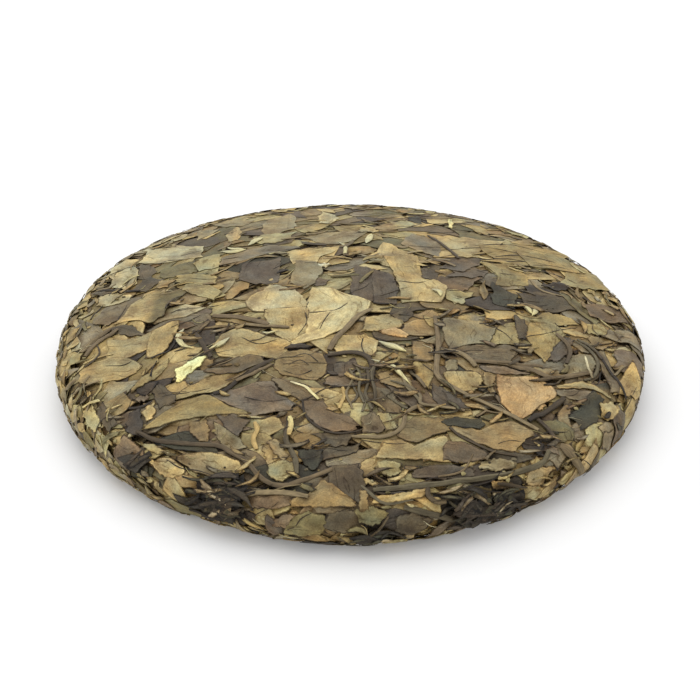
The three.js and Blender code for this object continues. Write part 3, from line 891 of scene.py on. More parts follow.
# %% The leaves with their own outlines
OUTLINED = [
    ("plum", [(-37, 33), (-38, 22), (-32, 18)], [(-24, 38), (-24, 27), (-24, 19)]),
    ("lichen", [(-20, 18), (-15, 13), (-12, 17)], [(-19, 36), (-12, 34), (-9, 28)]),
    ("sand", [(-75, 45), (-64, 41), (-52, 43)], [(-70, 55), (-62, 55), (-52, 52)]),
    ("sand", [(-84, 28), (-78, 25), (-74, 28)], [(-82, 38), (-77, 44), (-74, 38)]),
    ("sand", [(-88, 16), (-83, 13), (-76, 15)], [(-86, 21), (-81, 22), (-75, 19)]),
    ("ochre", [(-60, 25), (-54, 22), (-46, 20)], [(-60, 29), (-53, 29), (-46, 27)]),
    ("khaki", [(-58, 18), (-52, 12), (-46, 8)], [(-56, 24), (-48, 19), (-44, 14)]),
    ("ash", [(18, 50), (24, 45), (32, 40)], [(22, 60), (28, 57), (33, 52)]),
    ("ochre", [(60, 50), (62, 44), (64, 38)], [(75, 52), (80, 46), (82, 38)]),
    ("ochre", [(50, 20), (52, 27), (46, 38)], [(62, 22), (62, 30), (55, 38)]),
    ("russet", [(81, 5), (88, 4), (95, 6)], [(81, 14), (88, 16), (95, 14)]),
    ("ash", [(-45, 34), (-36, 36), (-28, 42), (-17, 46)], [(-44, 41), (-36, 47), (-28, 49), (-17, 48)]),
    ("plum", [(8, 4), (8, 16), (8, 28)], [(16, 4), (16.5, 14), (15, 24)]),
    ("tan fawn", [(17.5, 5), (17, 15), (15, 28), (12, 38)], [(31, 5), (34, 16), (25, 27), (24, 40)]),
    ("umber", [(25, 22), (25, 29), (27, 36)], [(30, 20.5), (31, 28), (32, 36)]),
    ("sand", [(-33, -1), (-35.5, 5), (-33.5, 10), (-29.5, 13), (-27, 17.5)],
     [(-15, -2), (-14, 4), (-15.5, 9), (-18.5, 13.5), (-24, 16)]),
    ("tan", [(-21, -20.5), (-25.5, -14), (-28.5, -6), (-29, 1)],
     [(-17, -20.5), (-13.5, -15), (-13, -6), (-13, 1)]),
    ("wheat", [(-20.5, -22.5), (-18.5, -19.5), (-14.5, -15), (-13.6, -3), (-14.5, 4), (-12.5, 15)],
     [(-19.5, -23.2), (-9.5, -19), (-1, -11.5), (6, -3), (7.5, 5), (1, 8), (-4.5, 13)]),
    ("fawn", [(-80, -22), (-74, -23.5), (-69, -21), (-66, -20)],
     [(-81, -11), (-74, -11.5), (-68, -9), (-66, -8)]),
    ("fawn", [(-67, -24.5), (-67, -15), (-66, -9), (-60, -4.5)],
     [(-62, -25), (-59, -17), (-57.5, -10), (-57, -4)]),
    ("fawn", [(-87, -34.5), (-80, -35.5), (-74, -34.5), (-69, -32)],
     [(-88, -27), (-86, -22.5), (-78, -22), (-72, -24), (-68, -28)]),
    ("ochre", [(-70, -43), (-66, -40), (-62, -36), (-59, -31)],
     [(-70, -41.5), (-67, -35.5), (-62, -30), (-59, -26)]),
    ("fawn", [(-45, -20), (-43, -27), (-36, -29.5), (-29, -28.5), (-23.5, -31), (-20, -26)],
     [(-42.5, -14), (-37, -10.5), (-33, -12.5), (-27, -16), (-22, -19), (-18.5, -22)]),
    ("cream", [(-54, -40.5), (-51.5, -36), (-48.5, -32), (-46, -28)],
     [(-55.5, -40.5), (-56.5, -34), (-52, -29.5), (-47.5, -26.5)]),
    ("fawn", [(-55, -49.5), (-49, -47), (-44, -47.5), (-40, -45), (-35, -40.5), (-29, -35)],
     [(-58, -50), (-53, -44), (-46, -39.5), (-40, -37.5), (-33, -34.5), (-30, -33.5)]),
    ("walnut", [(-47, -36), (-42, -38), (-36, -37.5), (-30, -34), (-27, -31.5)],
     [(-45, -33), (-38, -29.5), (-32, -28), (-28.5, -29)]),
    ("mauve", [(-8, -44), (-2, -46), (4, -44)], [(-7, -40), (0, -39), (6, -38)]),
    ("plum", [(-5, -33), (-5, -37), (-3, -40)], [(2, -31), (3, -35), (1, -39)]),
    ("mauve", [(-43, -49), (-38, -53.5), (-33, -57), (-31, -60), (-24, -58), (-18, -57)],
     [(-44, -48), (-38, -46), (-31, -44), (-24, -42), (-22, -49), (-17, -54)]),
    ("walnut", [(-25, -42), (-22, -46), (-19, -50), (-14, -53.5)],
     [(-24, -40.5), (-17, -43), (-13, -47), (-10, -52)]),
    ("husk", [(-24.8, -33.5), (-22, -38.5), (-16, -41.8), (-10.5, -42.5), (-7.5, -38)],
     [(-24, -31.5), (-20.5, -26.5), (-15, -25), (-9, -27.5), (-6.8, -33)]),
    ("umber", [(-63, -43), (-62, -47), (-60, -53)], [(-61, -40), (-55, -47), (-55, -50.5)]),
    ("russet", [(-76, -68), (-73, -74), (-67, -77)], [(-70, -63.5), (-66, -68), (-62.5, -73)]),
    ("umber", [(-81, -48), (-79, -54), (-76, -60)], [(-79, -45), (-76, -52), (-73, -57)]),
    ("khaki", [(-86, -47), (-84.5, -53), (-81, -58)], [(-82.5, -45.5), (-80.5, -51), (-78, -57)]),
    ("hazel", [(-50, -61), (-49, -66), (-46, -69.5)], [(-44.5, -60.5), (-43, -64), (-43.5, -69)]),
    ("lichen", [(-42, -61), (-41, -68), (-37, -74)], [(-36, -66), (-33, -70), (-30.5, -74)]),
    ("ochre", [(-64.5, -63), (-56, -61), (-48, -59), (-40, -58), (-36, -58), (-31, -59)],
     [(-64, -61.5), (-58, -54.5), (-52, -50), (-47, -48), (-44, -48.5), (-38, -54), (-31, -58)]),
    ("plum", [(-41, -59), (-38, -65), (-34.5, -69)], [(-36, -58.5), (-30.5, -61.5), (-33.5, -68.5)]),
    ("khaki", [(-66, -66.5), (-62, -71.5), (-57.5, -74.5)], [(-65, -65.5), (-60, -68.5), (-56, -73)]),
    ("fawn", [(-61, -76), (-58, -81), (-54, -83.5), (-49, -82.5)],
     [(-63, -74), (-58, -77), (-54, -77.5), (-50, -80)]),
    ("hazel tan", [(-52, -77.5), (-47, -82), (-41, -84), (-38.5, -88), (-35, -83.5), (-32, -84)],
     [(-53, -74), (-45, -74.5), (-38, -76), (-33, -78.5), (-31.5, -82)]),
    ("umber", [(14, -105.5), (20, -106.5), (24, -104)], [(14, -100), (19, -98.5), (25, -100)]),
    ("olive", [(-21, -105.5), (-15, -107), (-8, -106.5)], [(-18, -100.5), (-12, -98.5), (-6, -100.5)]),
    ("umber", [(-8, -104), (-2, -106.5), (5, -105.5)], [(-6, -99.5), (-1, -98), (5, -99.5)]),
    ("olive", [(3, -102.5), (7, -103.5), (10, -102)], [(1, -98.5), (7, -97), (11.5, -99)]),
    ("russet", [(-23.5, -103), (-19.5, -103.5), (-17.5, -101)],
     [(-22.5, -100.5), (-19, -99), (-15.5, -99.5)]),
    ("russet", [(-29.5, -96.5), (-22, -97.5), (-16, -96)], [(-30, -91), (-22, -91.5), (-14.5, -94)]),
    ("husk", [(-17, -97), (-8, -97.5), (2, -97.5)],
     [(-17, -94.5), (-12, -92.5), (-7.5, -87), (-3, -91), (2, -96)]),
    ("khaki", [(-24, -86), (-20, -87.5), (-16, -84.5)], [(-24, -81.5), (-20, -80), (-16.5, -80.5)]),
    ("ink", [(-14, -80), (-11, -83.5), (-9, -82)], [(-15, -75), (-11, -74.5), (-8, -75.5)]),
    ("russet", [(-15.5, -55), (-13, -60), (-9.5, -65), (-5, -67.8), (0, -67.5)],
     [(-14, -52.5), (-8, -53.5), (-5, -58.5), (0, -60.5), (3, -64.5)]),
    ("walnut", [(7.5, -46), (8, -52), (9, -58)], [(13, -47), (15, -53), (17, -58)]),
    ("plum", [(11, -45), (14, -50), (19, -55.5)], [(20, -47), (21, -51), (21.5, -54)]),
    ("hazel", [(8.5, -38), (10, -44), (15, -47)], [(15, -35), (19, -40), (20, -46)]),
    ("khaki", [(11, -67), (9, -61), (8, -58)], [(15, -66), (13, -60), (12, -58)]),
    ("walnut", [(4, -67), (3.5, -61), (7, -57.5)], [(9.5, -68), (11, -66), (9, -60)]),
    ("fawn", [(4, -14.5), (10, -14.5), (14, -13.5), (18, -11)],
     [(5.5, -6), (8, -4.5), (12, -3.5), (17, -7.5)]),
    ("rust", [(10, -15), (13, -17), (19, -18.5)], [(11, -14), (15.5, -12.5), (20, -16.5)]),
    ("tan", [(-4.5, -28.5), (-5, -24), (-3.5, -17)], [(8.5, -29.5), (9.5, -20), (5, -16)]),
    ("hazel", [(20.5, -20), (20.5, -26), (21, -31)], [(28, -18), (27.5, -25), (28, -31)]),
    ("walnut", [(32, -25.5), (36, -28), (42, -30), (53, -29.5)],
     [(34, -22), (42, -20), (50, -19.5), (56, -21)]),
    ("ochre", [(46.5, -19), (47, -13), (50, -8)], [(56, -20), (56, -13), (55, -8)]),
    ("lichen", [(22, -20), (28, -17), (30, -6)], [(30, -22), (33, -14), (33, -6)]),
    ("lichen", [(33, -24), (31, -16), (31, -5)], [(40, -19.5), (46.5, -19), (49, -10), (43, -4.5)]),
    ("ochre", [(20, -32), (21, -37), (21.5, -43)], [(28, -33), (27, -39), (25, -46)]),
    ("plum", [(26, -43), (26, -51), (30, -56)], [(29.5, -45), (34, -50), (37.5, -54.5)]),
    ("lichen", [(31, -31), (31, -35), (32, -39)], [(35, -30), (35, -35), (33.5, -39)]),
    ("fawn", [(30, -37), (31, -43), (36, -46.5)], [(42, -36), (43, -41), (40, -46)]),
    ("hazel", [(47.5, -37.5), (46, -42), (46.5, -47)], [(43, -36), (43, -42), (44.5, -46)]),
    ("ochre", [(64, -28), (61, -21), (58.5, -14), (60, -4)],
     [(66, -24), (68, -17), (72, -10), (69, -3)]),
    ("plum", [(65, -26), (67.5, -18), (72, -11)], [(68, -26), (72, -20), (75, -12)]),
    ("lichen", [(71, -33), (70, -27), (72, -21)], [(79, -31), (81, -25), (80, -20)]),
    ("ash", [(66.5, -45), (72, -46), (76, -45.5)], [(66, -42.5), (72, -41), (79, -40.5)]),
    ("ink", [(69, -54), (73, -50), (75.5, -45), (78, -41)],
     [(73, -60), (78, -56), (80.5, -50), (80.5, -45.5), (82.5, -42.5)]),
    ("tan", [(80.5, -51), (80, -46), (84.5, -43.5)], [(82, -53.5), (86, -50), (88, -45.5)]),
    ("hazel", [(65, -60), (66, -53), (69, -48.5)], [(70, -62), (69, -56), (70.5, -50)]),
    ("olive", [(64, -67.5), (61, -62), (58.5, -58)], [(70.5, -65), (70, -61), (65, -57)]),
    ("plum", [(18, -86), (27, -86), (38, -83.5)], [(19, -82.5), (28, -80.5), (37, -81)]),
    ("khaki", [(9, -84.5), (12, -85.5), (15.5, -84)], [(8, -80), (12, -79.5), (15.5, -80.5)]),
    ("lichen", [(38, -81), (44, -81.5), (50, -79.5)], [(40, -77.5), (44, -76.5), (50, -77.5)]),
    ("fawn", [(7.5, -79), (20, -79), (30, -79.5)],
     [(11, -71), (15, -70.5), (20, -73.5), (25, -70), (30, -67.5)]),
    ("husk", [(14, -69.5), (20, -72.5), (25, -69), (31, -66)],
     [(16, -65), (19, -60.5), (25, -60), (31, -60)]),
    ("russet", [(27, -79), (34, -79), (42, -77)], [(29, -70.5), (36, -71.5), (42, -75)]),
    ("hazel", [(31, -65.5), (34, -68), (38, -70.5), (44, -73.5), (50, -74), (53, -70)],
     [(33, -63), (40, -65), (45, -61.5), (51, -60), (58, -64.5)]),
    ("ink", [(30, -64.5), (28, -62), (33, -60)], [(40, -64.5), (42, -62), (41, -60)]),
    ("husk", [(2.8, -98.5), (3, -95), (3.2, -92)], [(5.8, -98.5), (5.4, -95), (5, -92)]),
    ("fawn", [(6, -97), (14, -95.5), (21.5, -93.5)], [(7, -94), (14, -92), (22.5, -90)]),
    ("olive", [(29, -90.5), (36, -92.5), (44, -92)], [(28.5, -87.5), (35, -87), (44, -88)]),
    ("husk", [(43, -88), (46, -88.3), (50, -87)], [(42.5, -85.5), (46, -85), (49.5, -85)]),
    ("hazel", [(54, -84.5), (58, -85), (62, -83)], [(54, -81), (58, -78.5), (63, -77)]),
    ("rust", [(52, -59.5), (48, -53), (47, -46), (47.5, -38)],
     [(53, -60), (61, -50.5), (66.5, -45.5), (65, -40), (61, -36.5)]),
    ("fawn", [(66.5, -41.5), (72, -40.5), (77, -39.5), (81, -40.5), (85, -43.5)],
     [(66.5, -39.5), (71, -38), (75, -35.8), (79, -36), (84, -40.5)]),
]

# %% Laying the broad leaves
BROADER = 1.12         # the rows give what shows: a leaf runs on a little under its neighbours
broad_leaves = Pile("broad_leaves")
for row in BACK_LEFT + BACK_RIGHT + FRONT_LEFT + FRONT_RIGHT:
    line, widths, names = row[:4], BROADER * np.array(row[4]), row[5:]
    tone = spread(0.98, 1.12) * edge_light(*line[:2])
    tints = [TINTS[name] * tone for name in names]
    lay_leaf(skin_bed, broad_leaves, LARGE_BLANK, line, widths, tints, bend=spread(-0.05, 0.05),
             tear=0.35 + 0.06 * widths.max(), slack=spread(0.02, 0.3), relief=0.22)
for names, one_side, other_side in OUTLINED:
    x, y, own, inside = trace_leaf(LARGE_BLANK, one_side, other_side)
    tone = spread(0.92, 1.01) * edge_light(x.mean(), y.mean())
    tints = [TINTS[name] * tone for name in names.split()]
    drape(skin_bed, broad_leaves, LARGE_BLANK, x, y, own, inside, tints, slack=spread(0.02, 0.2),
          relief=0.22)
scatter_leaves(base_bed, broad_leaves, LARGE_BLANK, even_places(24, 84), lengths=(18, 32),
               shares=(0.45, 0.75), slack=(0, 0.3), tear=1.0)
print(len(broad_leaves.copies), "broad leaves")

# %% [markdown]
# ## Stalks and buds
# A stalk is a tough rod that the press can't flatten, so it lies proud of the leaves and bends
# round them. A smooth curve through a few given points gives its way over the cake. A copy
# of the rod is bent along it, with a thickness of its own at each ring and with soft ridges,
# because a dried stalk is never round.

# %% Laying a rod along a way
ROD_ROUNDS = 3         # rounds of smoothing: a rod bends round more than a leaf does
ROD_SINK = 0.15        # a rod may sink this far into what it lies on
ROD_STEP = 0.3         # it raises the pile at places this close together
ROD_CREST = 0.8        # but not quite as high as its own crest
ROD_LINES = ((-0.7, 0.14), (0, 0), (0.7, 0.14))  # lines along it, and how much lower each lies
RIDGES = ((3, 0.13), (5, 0.1))                   # how many ridges run along it, and how high
ROD_WIDTHS = (0.9, 1.1)                          # how its thickness wanders
ROD_TONES = (0.93, 1.07)                         # and its colour
ROD_SHADE = ((-1, -0.2, 0.3, 0.9), (0.3, 0.65, 0.95, 1.15))  # heights across it, and their light


def smooth_way(points, count):
    """Points at even steps along a smooth curve through the points given, and its length."""
    points = np.array(points, float)
    way = smooth_line(points, 12 * len(points))
    gone = path_length(way)
    at = np.linspace(0, gone[-1], count)
    return np.stack([np.interp(at, gone, way[:, k]) for k in (0, 1)], 1), gone[-1]


def beside(way):
    """The direction straight to the left of a way, at each of its points."""
    ahead = np.gradient(way, axis=0)
    return np.stack([-ahead[:, 1], ahead[:, 0]], 1) / np.hypot(*ahead.T)[:, None]


def raise_along(bed, way, length, crest, radius):
    """Raises the pile where a rod lies, to its crest and a little less at its sides."""
    fine, _ = smooth_way(way, int(length / ROD_STEP) + 2)
    at = np.linspace(0, len(way) - 1, len(fine))
    crest = np.interp(at, np.arange(len(way)), crest)
    reach = np.interp(at, np.arange(len(way)), radius)
    for share, lower in ROD_LINES:
        edge = fine + beside(fine) * (reach * share)[:, None]
        bed.cover(edge[:, 0], edge[:, 1], crest - lower * reach)


def lay_rod(bed, pile, blank, points, thickness, tints, profile, flatness=0.8, rise=0.25):
    """Bends a rod blank along the way through the points and rests it on the bed."""
    rings = blank.steps + 1
    way, length = smooth_way(points, rings)
    share = np.interp(np.linspace(0, 1, rings), np.linspace(0, 1, len(profile)), profile)
    radius = thickness / 2 * share * spread(*ROD_WIDTHS, rings)
    ground = bed.top(way[:, 0], way[:, 1], thickness / 2)
    middle = ground
    for _ in range(ROD_ROUNDS):
        wide = np.pad(middle, 1, mode="edge")
        middle = np.maximum(ground - ROD_SINK, (wide[:-2] + wide[1:-1] + wide[2:]) / 3)
    middle = middle + thickness * rise

    ring = blank.ring
    turn = np.arctan2(blank.points[:, 1], blank.points[:, 0])
    ridge = sum((high * np.sin(count * turn + spread(0, 6.3)) for count, high in RIDGES), 1)
    sideways, upward = blank.points[:, 0] * ridge, blank.points[:, 1] * ridge
    spot = way[ring] + beside(way)[ring] * (sideways * radius[ring])[:, None]
    flat = np.column_stack([spot, middle[ring] + upward * radius[ring] * flatness])
    raise_along(bed, way, length, middle + radius * flatness * ROD_CREST, radius)

    part = ring / blank.steps
    place = np.stack([part * length + PATCH * random.integers(1, PATCH), turn * radius[ring]], 1)
    tint = tints[0] * (1 - part[:, None]) + tints[-1] * part[:, None]
    tint = tint * spread(*ROD_TONES, rings)[ring][:, None]
    pile.add(bed, blank, flat, place, tint, np.interp(upward, *ROD_SHADE))


# %% [markdown]
# Each row of the stalks gives the thickness, the colour at its first and at its last end, and the
# points that it passes. Thin green and black rows are stems, and thin black rows also paint the dark
# lines of shade between leaves.

# %% The stalks that lie on top
STALK_COLOURS = {"pale": tint_of((128, 113, 84)), "brown": tint_of((110, 95, 71)),
                 "green": tint_of((97, 89, 69)), "dark": tint_of((73, 63, 49)),
                 "black": tint_of((54, 48, 41)), "gold": TINTS["gold"], "straw": TINTS["straw"],
                 "bone": TINTS["bone"]}
THINNER = 0.88         # pressed stalks lie half sunk between leaves
BLUNT = (0.7, 1, 0.95, 1, 0.95, 1, 0.75)
TAPERED = (0.8, 1, 0.95, 0.9, 0.75, 0.4)
STALKS = [
    (1.8, "dark", "brown", (-66, -63), (-58.7, -67.5), (-49, -70.4), (-39.6, -72.2), (-36, -75),
     (-31, -79), (-26, -86), (-20, -89), (-13, -87), (-5, -83.3)),
    (2.2, "brown", "pale", (28.6, -4.4), (29.3, -21), (27.9, -35), (28.6, -41), (35, -47),
     (50.6, -58), (58.7, -63)),
    (2.2, "brown", "brown", (40, -30.8), (51, -30.8), (58.6, -33), (64.5, -36), (70.4, -34.5), (79, -30)),
    (2.4, "pale", "pale", (30, -25), (36.7, -27), (41, -33.7)),
    (2.4, "dark", "dark", (-7, -29), (0, -27.6), (4.5, -29), (7, -33), (7, -41)),
    (1.7, "pale", "brown", (0.7, -69.6), (11, -69.3), (16, -65.3), (17.6, -58), (23, -54.5), (31, -55),
     (36, -56)),
    (2.1, "green", "green", (7, -90.8), (20, -88.8), (30.4, -86.8), (38, -85), (50.6, -81.4),
     (58.6, -77), (61, -72)),
    (3.0, "brown", "pale", (65, -69), (72, -72), (78.5, -74)),
    (1.8, "dark", "brown", (23, -90.4), (23, -93), (25.6, -94.8), (29, -94.4)),
    (2.2, "green", "dark", (16, -97.2), (31, -100), (40, -103)),
    (2.4, "pale", "brown", (7.5, -1), (3, -5.5), (-0.5, -12), (-4, -18.5), (-6.5, -26)),
    (1.6, "black", "dark", (-43, -48), (-39, -46), (-34, -39.5), (-28, -33.5), (-24.5, -31)),
    (1.8, "brown", "brown", (-36, -42.5), (-31, -38.5), (-25, -33.5)),
    (1.8, "pale", "brown", (-35, -9), (-28, -11), (-20, -11.5)),
    (2.6, "brown", "brown", (-46, -2.5), (-38, -4.5), (-31, -7.5), (-27, -10.5)),
    (1.8, "dark", "dark", (-52, -10), (-49, -18), (-45, -28)),
    (2.4, "brown", "pale", (-80.7, -3.7), (-86, -9), (-89.5, -16)),
    (2.2, "brown", "brown", (-78, -5), (-84, -11), (-88, -18)),
    (1.3, "black", "black", (-87, 26.5), (-80, 23.5), (-72.5, 21.2)),
    (1.6, "dark", "dark", (28.5, 59), (32, 52.5), (35.5, 46), (38.5, 39)),
    (2.0, "dark", "green", (-18.7, -60), (-18.3, -64.5), (-19, -70.4), (-16, -79), (-15.4, -85)),
    (1.5, "dark", "dark", (58, -56.5), (62, -62), (64.5, -68)),
    (2.4, "black", "dark", (56, -59), (62.5, -53), (68.5, -46.5)),
    (1.2, "dark", "dark", (30.5, -65), (33.5, -68.5), (38, -71.5), (44, -74.5), (51, -75.5)),
    (0.9, "black", "black", (-56.5, -9), (-57.5, -15), (-60, -22), (-65, -25.5)),
    (2.0, "pale", "pale", (-36, -93), (-24, -92), (-12, -94)),
    (1.6, "brown", "dark", (69, -10), (73, -18), (71, -27)),
    (1.1, "black", "black", (81.5, -16), (84, -24), (87, -32), (90.5, -39.5)),
    (1.9, "gold", "gold", (-29, -62.5), (-28, -66), (-29, -70), (-27.8, -75)),
    (1.9, "straw", "gold", (-18.2, -60.5), (-17.6, -64.5), (-18.2, -69)),
    (1.6, "brown", "brown", (48, -30.8), (55, -30.2), (63, -30.3)),
    (1.2, "green", "dark", (8.5, -33), (7, -40), (8, -50), (6.5, -58)),
    (1.0, "dark", "green", (5, -41), (3, -46), (5, -52), (4, -58)),
    (1.0, "green", "dark", (1, -44), (2.5, -50), (0, -55)),
    (0.9, "black", "dark", (-14.5, -53), (-13.5, -59.5), (-10, -65), (-5, -68.3), (1, -67.8), (4, -66)),
    (1.3, "pale", "green", (13, -35), (16.5, -40), (18, -46), (21, -51), (22, -54)),
    (1.2, "bone", "straw", (-18.5, -43.5), (-14, -46), (-11.5, -49.5), (-9.5, -52.5)),
    (1.4, "gold", "gold", (-2, -46), (-1.5, -50), (-3, -57)),
    (1.1, "green", "green", (2, -34), (3.5, -40), (3, -47), (4.5, -54)),
    (0.9, "green", "pale", (0, -36), (1, -42), (-1, -49), (1, -57)),
    (1.2, "dark", "green", (5.5, -35), (6, -42), (5, -49), (7, -57)),
    (1.3, "green", "pale", (13, -43), (18.5, -46), (22, -50), (22, -54), (26, -55), (33, -56)),
    (1.0, "green", "green", (10, -48), (14, -53), (18, -56)),
    (1.4, "green", "brown", (18, -33), (21, -40), (24, -46)),
    (1.4, "green", "green", (75, -13), (79.5, -17), (81.5, -24), (80, -31), (76, -35)),
    (1.2, "green", "dark", (76, -11), (81, -16), (83, -22)),
    (0.9, "bone", "pale", (77.5, -22), (78, -28), (79, -33)),
]
stalks = Pile("stalks")
for thickness, first, last, *points in STALKS:
    lay_rod(skin_bed, stalks, STALK_BLANK, points, thickness * THINNER,
            (STALK_COLOURS[first], STALK_COLOURS[last]), BLUNT)

# %% [markdown]
# A bud is a spindle of folded young leaves with silver down: a rod that swells and tapers. It is
# laid as the stalks are. A row gives its thickness and the points that it passes.

# %% The buds
BUD_PROFILE = (0.12, 0.6, 0.95, 1, 0.9, 0.62, 0.1)
BUDS = [
    (2.5, (-55.4, -9.5), (-57, -14.7), (-54.8, -19.8), (-51.3, -22)),
    (2.6, (-39.6, -17.6), (-42.5, -21), (-46, -23.5)),
    (3.0, (9.5, -21), (14, -23.4), (18.5, -26.8)),
    (1.9, (7, -32), (13, -34), (17, -41), (19, -45)),
    (1.6, (-4, 51), (-1.4, 46), (-2, 37)),
    (2.2, (28, 14), (30.5, 12), (31, 9)),
    (2.4, (57, 8), (60, 6), (62, 2)), (2.0, (62, 8), (63, 4), (61.6, 0.6)),
    (2.4, (-45.5, 46), (-41, 45), (-36.4, 46)), (2.2, (-44, 49.6), (-40, 49), (-37, 48)),
    (2.6, (-36, 51), (-33.5, 54), (-31, 56.6)), (3.0, (6, 50), (7, 54), (8, 58.5)),
    (1.8, (-29, -14), (-26.5, -14.8), (-24.5, -14.6)),
]
buds = Pile("buds")
for thickness, *points in BUDS:
    silver = TINTS["silver"] * spread(0.8, 1.0)
    lay_rod(skin_bed, buds, BUD_BLANK, points, thickness * THINNER, (silver, TINTS["straw"]), BUD_PROFILE,
            flatness=0.75, rise=0.3)
print(len(stalks.copies), "stalks and", len(buds.copies), "buds")

# %% [markdown]
# ## Shreds, twigs, crumbs and hairs
# The gaps between the broad leaves aren't empty: shreds, twigs and crumbs have worked their way
# into them. The grid of heights tells where the gaps are: a place that lies lower than its
# surroundings is one. Random places are drawn all over the skin, and those in gaps are kept.

# %% Finding the gaps
GAP_REACH = 2.5        # a gap is compared with its surroundings over this reach
CHARRED_CROWDING = 0.7 # 0.5 would spread charred bits evenly, and more crowds them at the middle
CHARRED_FLATNESS = 0.6 # a charred patch is this much flatter than it is wide


def low_places(count, outermost, depth):
    """Those of count random places on the skin that lie more than depth under what is round them."""
    around = blurred(skin_bed.field, GAP_REACH)
    distance = outermost * np.sqrt(spread(0, 1, count))
    theta = spread(0, 2 * math.pi, count)
    x, y = distance * np.cos(theta), distance * np.sin(theta)
    low = skin_bed.read(around, x, y) - skin_bed.read(skin_bed.field, x, y) > depth
    return [place for place in zip(x[low], y[low]) if not within(HOLLOWS + BARE, *place)]


def charred_places(closeness):
    """Random places in the charred patches, this many for each square millimetre of their reach."""
    places = []
    for px, py, reach in CHARRED:
        for _ in range(int(closeness * reach ** 2)):
            out, turn = reach * spread(0, 1) ** CHARRED_CROWDING, spread(0, 6.3)
            places.append((px + out * math.cos(turn), py + CHARRED_FLATNESS * out * math.sin(turn)))
    return places


# %% [markdown]
# The charred clumps on the near edge are made of small dark leaves, strips and shreds that lie
# close on each other. Elsewhere strips and shreds take the colours of the place where they lie.

# %% Charred clumps, strips and shreds
scatter_leaves(skin_bed, torn_leaves, TORN_BLANK, charred_places(0.2), lengths=(5, 10),
               shares=(0.3, 0.7), slack=(0, 0.5), tear=0.8)
lay_strips(skin_bed, strips, low_places(500, outermost=119, depth=0.5) + charred_places(0.08),
           lengths=(5, 15), thickest=1.9)
shreds = Pile("shreds")
for x, y in low_places(2300, outermost=120, depth=0.38) + charred_places(0.25):
    length, heading = spread(3, 10), grain_at(x, y) + spread(-0.8, 0.8)
    width = spread(0.5, 1.9)
    widths = (width * spread(0.3, 1), width, width * spread(0.2, 0.9))
    tint = litter_tint(x, y, 1.35, 0.85)
    lay_leaf(skin_bed, shreds, SCRAP_BLANK, line_at(x, y, length, heading), widths, (tint,),
             bend=spread(-0.15, 0.15), tear=0.3, slack=spread(0, 0.1), relief=0.1)
print(len(shreds.copies), "shreds and", len(strips.copies), "strips")

# %% [markdown]
# Where broad leaves lie edge to edge, a thin black line of shade shows in the gap between them. A
# real crack is hard to keep open in a pile, so a black thread laid into it stands for it, as painted
# shade: some where the real cake has them, and others by rule. Twigs are laid in the same way, along
# a short curved way.

# %% Cracks painted with black shadow threads, and twigs
CRACK_SHADOWS = [
    (0.45, (-13.5, -2.8), (-8, -2.2), (-4.2, -1.0), (-0.5, 3.5)),
    (0.4, (-6.5, -3), (-8.4, -8), (-9.8, -13)),
    (0.4, (-13.8, 4.8), (-14.8, -2), (-14.2, -8.8), (-17, -16)),
    (0.45, (4.5, -18), (4.0, -23), (5, -29)), (0.5, (52, 44), (60, 47), (70, 46), (78, 42)),
    (0.4, (54, 40), (63, 42), (72, 41)), (0.4, (-33, -50), (-26, -53), (-19, -52)),
    (0.4, (-80, -26), (-74, -27), (-69, -24)), (0.4, (-36, -17), (-30, -21), (-24, -19)),
    (0.4, (45, -8), (51, -12), (54, -17)), (0.4, (45, 52), (58, 56), (72, 52)),
    (0.4, (46, 39), (57, 43), (68, 40)), (0.35, (40, 49), (52, 51), (64, 48)),
    (0.35, (62, 38), (72, 41), (82, 38)), (0.4, (-12, -37), (-16, -40), (-21, -37)),
    (0.4, (-10, -32), (-14, -28), (-19, -30)), (0.35, (-13, -34), (-16, -31.5), (-19.5, -34)),
]
SHADOW_THREAD_COLOURS = ("black", "dark", "black")
SHADOW_THREAD_POINTS = (-0.5, -0.2, 0.15, 0.5)    # where along a thread its points lie
TWIG_COLOURS = ("pale", "brown", "green", "dark", "black", "dark")


def drawn(names):
    """One of the names."""
    return names[random.integers(0, len(names))]


def curved_way(x, y, lengths, astray):
    """The three points of a short curved way with its middle near this place."""
    length, curve = spread(*lengths), spread(-0.3, 0.3)
    heading = grain_at(x, y) + spread(-astray, astray)
    ahead = np.array([math.cos(heading), math.sin(heading)]) * length / 2
    aside = np.array([-ahead[1], ahead[0]]) * curve * 2
    middle = np.array([x, y])
    return middle - ahead, middle + aside, middle + ahead


# The twigs pile also takes the black threads, which are painted shade.
twigs = Pile("twigs")
for thickness, *points in CRACK_SHADOWS:
    lay_rod(skin_bed, twigs, TWIG_BLANK, points, thickness, (STALK_COLOURS["black"],), TAPERED, rise=0.0)
# More black threads by rule along the grain: painted shade lines such as those between leaves.
for x, y in even_places(19, 108, 0.9):
    if within(BARE, x, y):
        continue
    heading, length = grain_at(x, y) + spread(-0.5, 0.5), spread(6, 17)
    cosine, sine = math.cos(heading), math.sin(heading)
    points = [(x + at * length * cosine + spread(-1, 1), y + at * length * sine + spread(-1, 1))
              for at in SHADOW_THREAD_POINTS]
    thickness = spread(0.25, 0.5)
    tint = STALK_COLOURS[drawn(SHADOW_THREAD_COLOURS)]
    lay_rod(skin_bed, twigs, TWIG_BLANK, points, thickness, (tint,), TAPERED, rise=0.0)
for x, y in low_places(300, outermost=119, depth=0.5):
    points = curved_way(x, y, lengths=(6, 16), astray=0.5)
    tint = STALK_COLOURS[drawn(TWIG_COLOURS)] * spread(0.85, 1.15)
    lay_rod(skin_bed, twigs, TWIG_BLANK, points, spread(0.5, 1.2), (tint,), TAPERED, rise=0.0)
print(len(twigs.copies), "twigs, threads and cracks")

# %% [markdown]
# Crumbs are lumps of leaf dust, each with its own dents. Hairs are the down that buds have lost
# and loose fibres. They fall last, so they lie on top of all that is in the gaps.

